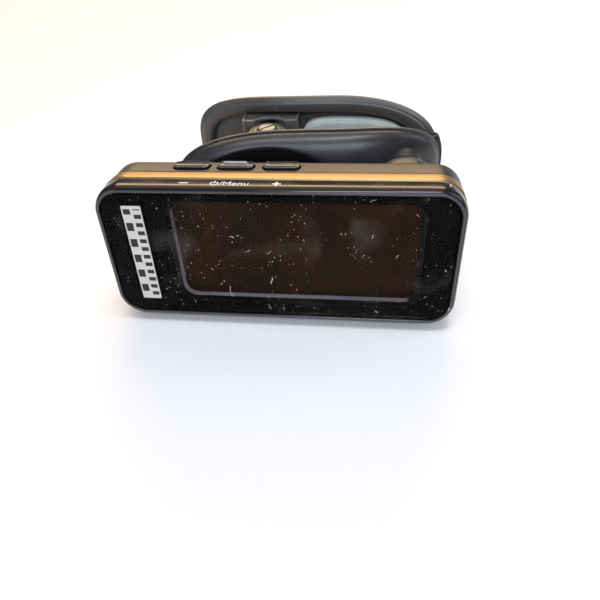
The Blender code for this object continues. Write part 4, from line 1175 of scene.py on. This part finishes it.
class TUNER_OT_shell(bpy.types.Operator):
    """Make the rear shell with its button slots, cell hole, screw holes and half of the ball socket."""

    bl_idname = "tuner.shell"
    bl_label = "Rear shell"

    def execute(self, context):
        depth, height = size_of("depth"), size_of("height")
        inner = depth - WALL
        turn = np.linspace(0, np.pi / 2, 12)
        round_back = [(REAR_ROUND * (1 - math.cos(t)), depth - REAR_ROUND * (1 - math.sin(t))) for t in turn]
        front = [(5.0, inner), (WALL, inner), (WALL, REAR_FRONT), (0.0, REAR_FRONT)]
        front = filleted([*front, (0.0, depth - REAR_ROUND - 0.5)], np.array([0.1, 0.5, 0.1, 0.14, 0.1]), 5)
        section = [*map(tuple, front), *round_back, (5.0, depth)]
        shell = grid_mesh("rear_shell", housing_grid(section), "display")
        socket = (BALL_X, BALL_Y, BALL_Z)
        tools = []
        sides = [size_of(key) + 2 * GAP for key in ("button_width", "button_depth")]
        for x in BUTTON_X.values():
            slot = rounded_rectangle(*sides, 1.7, (x, BUTTON_Y), 8)
            tools.append(("DIFFERENCE", plate("slot", slot, height - 3.0, height + 3.0, "display")))
        door = [(0, 4), (DOOR_R + GAP, 4), (DOOR_R + GAP, -4), (0, -4)]
        tools.append(("DIFFERENCE", turned("door_hole", door, "display", (CELL_X, depth, CELL_Z))))
        rise = SOCKET_SPLIT - GAP / 2
        boss = [(SOCKET_OUT - 0.12, rise), (SOCKET_OUT, rise - 0.12), *arc(SOCKET_OUT, -4, -62, 16)]
        tools.append(("UNION", turned("boss", boss, "display", socket)))
        hollow = [(SOCKET_IN, 3), *arc(SOCKET_IN, 0, -88, 20)]
        tools.append(("DIFFERENCE", turned("hollow", hollow, "display", socket)))
        for x, z in SCREW_PLACES:
            hole = [(2.35, 3), (2.35, 0.95), (2.2, 0.8), (2.2, 0), (1.3, 0), (1.3, -4)]
            tools.append(("DIFFERENCE", turned("hole", hole, "display", (x, depth - 1.0, z), steps=32)))
        mesh = carved(shell, tools)
        placed("rear_shell", mesh, finish(shell_abs), "display", ["rear_housing"], 30)
        return {"FINISHED"}


class TUNER_OT_buttons(bpy.types.Operator):
    """Make the three buttons; the middle one has an oval ridge round a dish."""

    bl_idname = "tuner.buttons"
    bl_label = "Buttons"

    def execute(self, context):
        for name in BUTTON_X:
            placed(f"{name}_cap", button_mesh(name), finish(bezel_abs), f"{name}_button", [f"{name}_button"])
        return {"FINISHED"}


class TUNER_OT_door(bpy.types.Operator):
    """Make the cell door with a coin slot and a shallow ring groove."""

    bl_idname = "tuner.door"
    bl_label = "Cell door"

    def execute(self, context):
        depth = size_of("depth")
        profile = [(0.2, 0), (8.9, 0), (9.1, -0.22), (9.5, -0.22), (9.7, 0), (DOOR_R, 0), (DOOR_R, -DOOR_T),
                   (0.2, -DOOR_T)]
        fine = filleted(profile, np.array([0.1, 0.08, 0.08, 0.08, 0.08, 0.3, 0.1, 0.1]), 4)
        door = turned("cell_door", fine, "display", (CELL_X, depth, CELL_Z), steps=128)
        slot = rounded_rectangle(15.0, 2.0, 0.98, (CELL_X, CELL_Z), 10)
        tool = plate("coin_slot", slot, depth - 0.8, depth + 0.8, "display", plane="xz")
        mesh = carved(door, [("DIFFERENCE", tool)])
        placed("cell_door", mesh, finish(shell_abs), "battery_door", ["battery_door"])
        return {"FINISHED"}


class TUNER_OT_screws(bpy.types.Operator):
    """Make the four cross-head screws in the rear shell."""

    bl_idname = "tuner.screws"
    bl_label = "Housing screws"

    def execute(self, context):
        depth = size_of("depth")
        for number, (x, z) in enumerate(SCREW_PLACES, 1):
            head = [(0.15, 0.95), (1.2, 0.9), (1.9, 0.6), (1.9, GAP), (0.9, GAP - 0.1), (0.9, -6.0),
                    (0.15, -6.0)]
            screw = turned("screw", filleted(head, 0.12, 3), "display", (x, depth - 1.0, z), steps=48)
            arms = np.array([(1.05, 0.22), (0.22, 0.22), (0.22, 1.05)])
            turns = [((1, 0), (0, 1)), ((0, 1), (-1, 0)), ((-1, 0), (0, -1)), ((0, -1), (1, 0))]
            cross = np.concatenate([arms @ np.array(t, float) for t in turns]) + np.array((x, z))
            tool = plate("cross", cross, depth - 0.7, depth + 0.5, "display", plane="xz")
            mesh = carved(screw, [("DIFFERENCE", tool)])
            node = f"housing_screw_{number}"
            placed(f"shell_screw_{number}", mesh, finish(nickel_steel), "display", [node])
        return {"FINISHED"}


class TUNER_OT_ball_joint(bpy.types.Operator):
    """Make the socket cap, the friction cup, the ball stud and its screw."""

    bl_idname = "tuner.ball_joint"
    bl_label = "Ball joint"

    def execute(self, context):
        socket = (BALL_X, BALL_Y, BALL_Z)
        low = [math.degrees(math.asin(SOCKET_SPLIT / r)) for r in (SOCKET_IN, SOCKET_OUT)]
        outer = arc(SOCKET_OUT, low[1] + 1.0, SOCKET_LIP - 1.5, 30)
        inner = arc(SOCKET_IN, SOCKET_LIP, low[0] + 1.4, 24)
        cap = turned("socket_ring", np.concatenate([outer, inner]), "display", socket, loop=True, steps=128)
        placed("socket_ring", cap, finish(frame_abs), "display", ["socket_cap"])
        cup = np.concatenate([arc(CUP_IN, -88, CUP_LIP, 30), arc(CUP_OUT, CUP_LIP, -88, 30)])
        placed("friction_liner", turned("liner", cup, "display", socket), finish(nylon), "friction_cup",
               ["friction_cup"])
        flange = STUD_LENGTH - 1.5
        neck = math.degrees(math.acos((NECK_R + 0.1) / BALL_R))
        profile = [(1.0, STUD_LENGTH), (3.4, STUD_LENGTH), (3.6, STUD_LENGTH - 0.2), (3.6, flange + 0.1),
                   (3.4, flange - 0.1)]
        profile += [(NECK_R + 0.25, flange - 0.55), (NECK_R, flange - 0.85),
                    (NECK_R, BALL_R * math.sin(math.radians(neck)) + 0.3)]
        profile = np.concatenate([profile, arc(BALL_R, neck, -88, 40)])
        profile = np.concatenate([[(0.95, STUD_LENGTH - 4.5), (0.95, STUD_LENGTH)], profile])
        stud = turned("stud", profile, "ball")
        placed("stud", stud, finish(nickel_steel), "ball_stud", ["ball_stud"])
        top = STUD_LENGTH + GAP + SEAT_FLOOR + GAP
        screw = [(0.2, top + 1.2), (1.9, top + 1.2), (1.9, top), (0.85, top), (0.85, STUD_LENGTH - 4.2),
                 (0.2, STUD_LENGTH - 4.2)]
        mesh = turned("seat_screw", filleted(screw, 0.15, 3), "ball", steps=48)
        placed("seat_screw", mesh, finish(nickel_steel), "front_jaw", ["stud_screw"])
        return {"FINISHED"}


class TUNER_OT_covers(bpy.types.Operator):
    """Make both jaw covers; the front one has the ball stud's seat."""

    bl_idname = "tuner.covers"
    bl_label = "Jaw covers"

    def execute(self, context):
        start = STUD_LENGTH + GAP
        seat = filleted([(0.5, start + SEAT_DEPTH), (4.9, start + SEAT_DEPTH), (4.4, start), (0.5, start)],
                        np.array([0.1, 0.1, 0.25, 0.1]), 5)
        floor = start + SEAT_FLOOR
        bore = [(2.3, start + 8.0), (2.3, floor), (1.15, floor), (1.15, start - 1.0)]
        tools = [("UNION", turned("seat", seat, "ball")),
                 ("DIFFERENCE", turned("bore", bore, "ball", steps=48))]
        front = carved(cover_mesh(-1), tools)
        placed("front_cover", front, finish(cover_finish), "front_jaw", ["front_jaw_cover"],
               40)
        placed("rear_cover", cover_mesh(1), finish(cover_finish), "rear_jaw", ["rear_jaw_cover"],
               40)
        return {"FINISHED"}


class TUNER_OT_frames(bpy.types.Operator):
    """Make both jaw frames with their lugs, plates and handle pockets."""

    bl_idname = "tuner.frames"
    bl_label = "Jaw frames"

    def execute(self, context):
        for name, side in (("front", -1), ("rear", 1)):
            tools = lug_parts(side)
            opening = rounded_rectangle(9.0, 10.0, 2.5, (-14.5, size_of("jaw_height") / 2 - side * 7.0), 10)
            span = sorted((side * 11.5, side * 19.5))
            tools.append(("DIFFERENCE", plate("pocket", opening, *span, "clip", plane="xz")))
            mesh = carved(tray_mesh(side), tools)
            placed(f"{name}_tray", mesh, finish(frame_abs), f"{name}_jaw", [f"{name}_jaw_frame"],
                   32)
        return {"FINISHED"}


class TUNER_OT_pads(bpy.types.Operator):
    """Make the silicone pads and the black rubber lips of both jaws."""

    bl_idname = "tuner.pads"
    bl_label = "Pads and lips"

    def execute(self, context):
        pad, lip = finish(pad_rubber), finish(lip_rubber)
        for name, side in (("front", -1), ("rear", 1)):
            placed(f"{name}_pad", pad_mesh(side), pad, f"{name}_jaw", [f"{name}_grip_pad"], 50)
            placed(f"{name}_lip", lip_mesh(side), lip, f"{name}_jaw", [f"{name}_tip_lip"], 60)
        return {"FINISHED"}


class TUNER_OT_hinge(bpy.types.Operator):
    """Make the slotted hinge pin, its washer and the torsion spring with both legs."""

    bl_idname = "tuner.hinge"
    bl_label = "Hinge and spring"

    def execute(self, context):
        steel, wire = finish(nickel_steel), finish(spring_steel)
        head, foot = LUG_HIGH + LUG_THICK + GAP, LUG_LOW - 1.4
        profile = [(0.3, head + 0.9), (2.2, head + 0.9), (2.7, head + 0.5), (2.7, head), (PIN_R, head),
                   (PIN_R, foot), (0.3, foot)]
        pin = turned("pin", filleted(profile, 0.25, 5), "clip", upright=True)
        cut = rounded_rectangle(4.0, 0.6, 0.1) @ np.array([(0.82, 0.57), (-0.57, 0.82)])
        pin = carved(pin, [("DIFFERENCE", plate("slot", cut, head + 0.45, head + 2.0, "clip"))])
        placed("pin", pin, steel, "front_jaw", ["hinge_pin"])
        high, low = LUG_LOW - GAP, LUG_LOW - GAP - 0.8
        ring = filleted([(2.9, high), (2.9, low), (PIN_R + 0.05, low), (PIN_R + 0.05, high)], 0.12, 3, True)
        placed("washer", turned("washer", ring, "clip", upright=True, loop=True), steel, "front_jaw",
               ["pin_washer"])
        front, rear = spring_lines()
        radius = size_of("wire_radius")
        placed("coil", tube("coil", front, radius, "clip"), wire, "front_jaw", ["torsion_spring"],
               60)
        placed("rear_leg", tube("rear_leg", rear, radius, "clip"), wire, "rear_jaw", ["spring_leg"],
               60)
        return {"FINISHED"}


class TUNER_OT_inside(bpy.types.Operator):
    """Give the pieces inside the housing their finishes."""

    bl_idname = "tuner.inside"
    bl_label = "Inside pieces"

    def execute(self, context):
        paint({"circuit_board": solder_mask, "microcontroller": chip_epoxy, "minus_switch": chip_epoxy,
               "menu_switch": chip_epoxy, "plus_switch": chip_epoxy, "piezo_sensor": stamped_brass,
               "coin_cell": nickel_steel, "negative_contact": stamped_brass,
               "positive_contact": stamped_brass})
        return {"FINISHED"}


class TUNER_PT_panel(bpy.types.Panel):
    """Lists the tuner's pieces, sizes and colours."""

    bl_idname = "TUNER_PT_panel"
    bl_label = "Clip-on tuner"
    bl_space_type = "VIEW_3D"
    bl_region_type = "UI"
    bl_category = "Tuner"

    def draw(self, context):
        for operator in OPERATORS:
            self.layout.operator(operator.bl_idname)
        for group in (context.scene.tuner_sizes, context.scene.tuner_colours):
            column = self.layout.column(align=True)
            for key in group.bl_rna.properties.keys():
                if key not in ("rna_type", "name"):
                    column.prop(group, key)


def paint(finishes):
    """Give CAD nodes their finishes, one material for each kind."""
    made = {}
    for node, maker in finishes.items():
        if maker not in made:
            made[maker] = finish(maker)
        slots = frame["nodes"][node].data.materials
        slots.clear()
        slots.append(made[maker])


OPERATORS = (
    TUNER_OT_stage, TUNER_OT_bezel, TUNER_OT_lens, TUNER_OT_window, TUNER_OT_marks, TUNER_OT_band,
    TUNER_OT_shell,
    TUNER_OT_buttons, TUNER_OT_door, TUNER_OT_screws, TUNER_OT_ball_joint, TUNER_OT_covers, TUNER_OT_frames,
    TUNER_OT_pads, TUNER_OT_hinge, TUNER_OT_inside,
)
CLASSES = (TunerSizes, TunerColours, *OPERATORS, TUNER_PT_panel)


def register():
    """Register the classes and hang the settings on the scene."""
    for item in CLASSES:
        bpy.utils.register_class(item)
    bpy.types.Scene.tuner_sizes = bpy.props.PointerProperty(type=TunerSizes)
    bpy.types.Scene.tuner_colours = bpy.props.PointerProperty(type=TunerColours)


def unregister():
    """Take the settings and the classes away again."""
    del bpy.types.Scene.tuner_colours
    del bpy.types.Scene.tuner_sizes
    for item in reversed(CLASSES):
        bpy.utils.unregister_class(item)


def main():
    """Build every piece in order."""
    register()
    for operator in OPERATORS:
        group, name = operator.bl_idname.split(".")
        getattr(getattr(bpy.ops, group), name)()


if __name__ == "__main__":
    main()
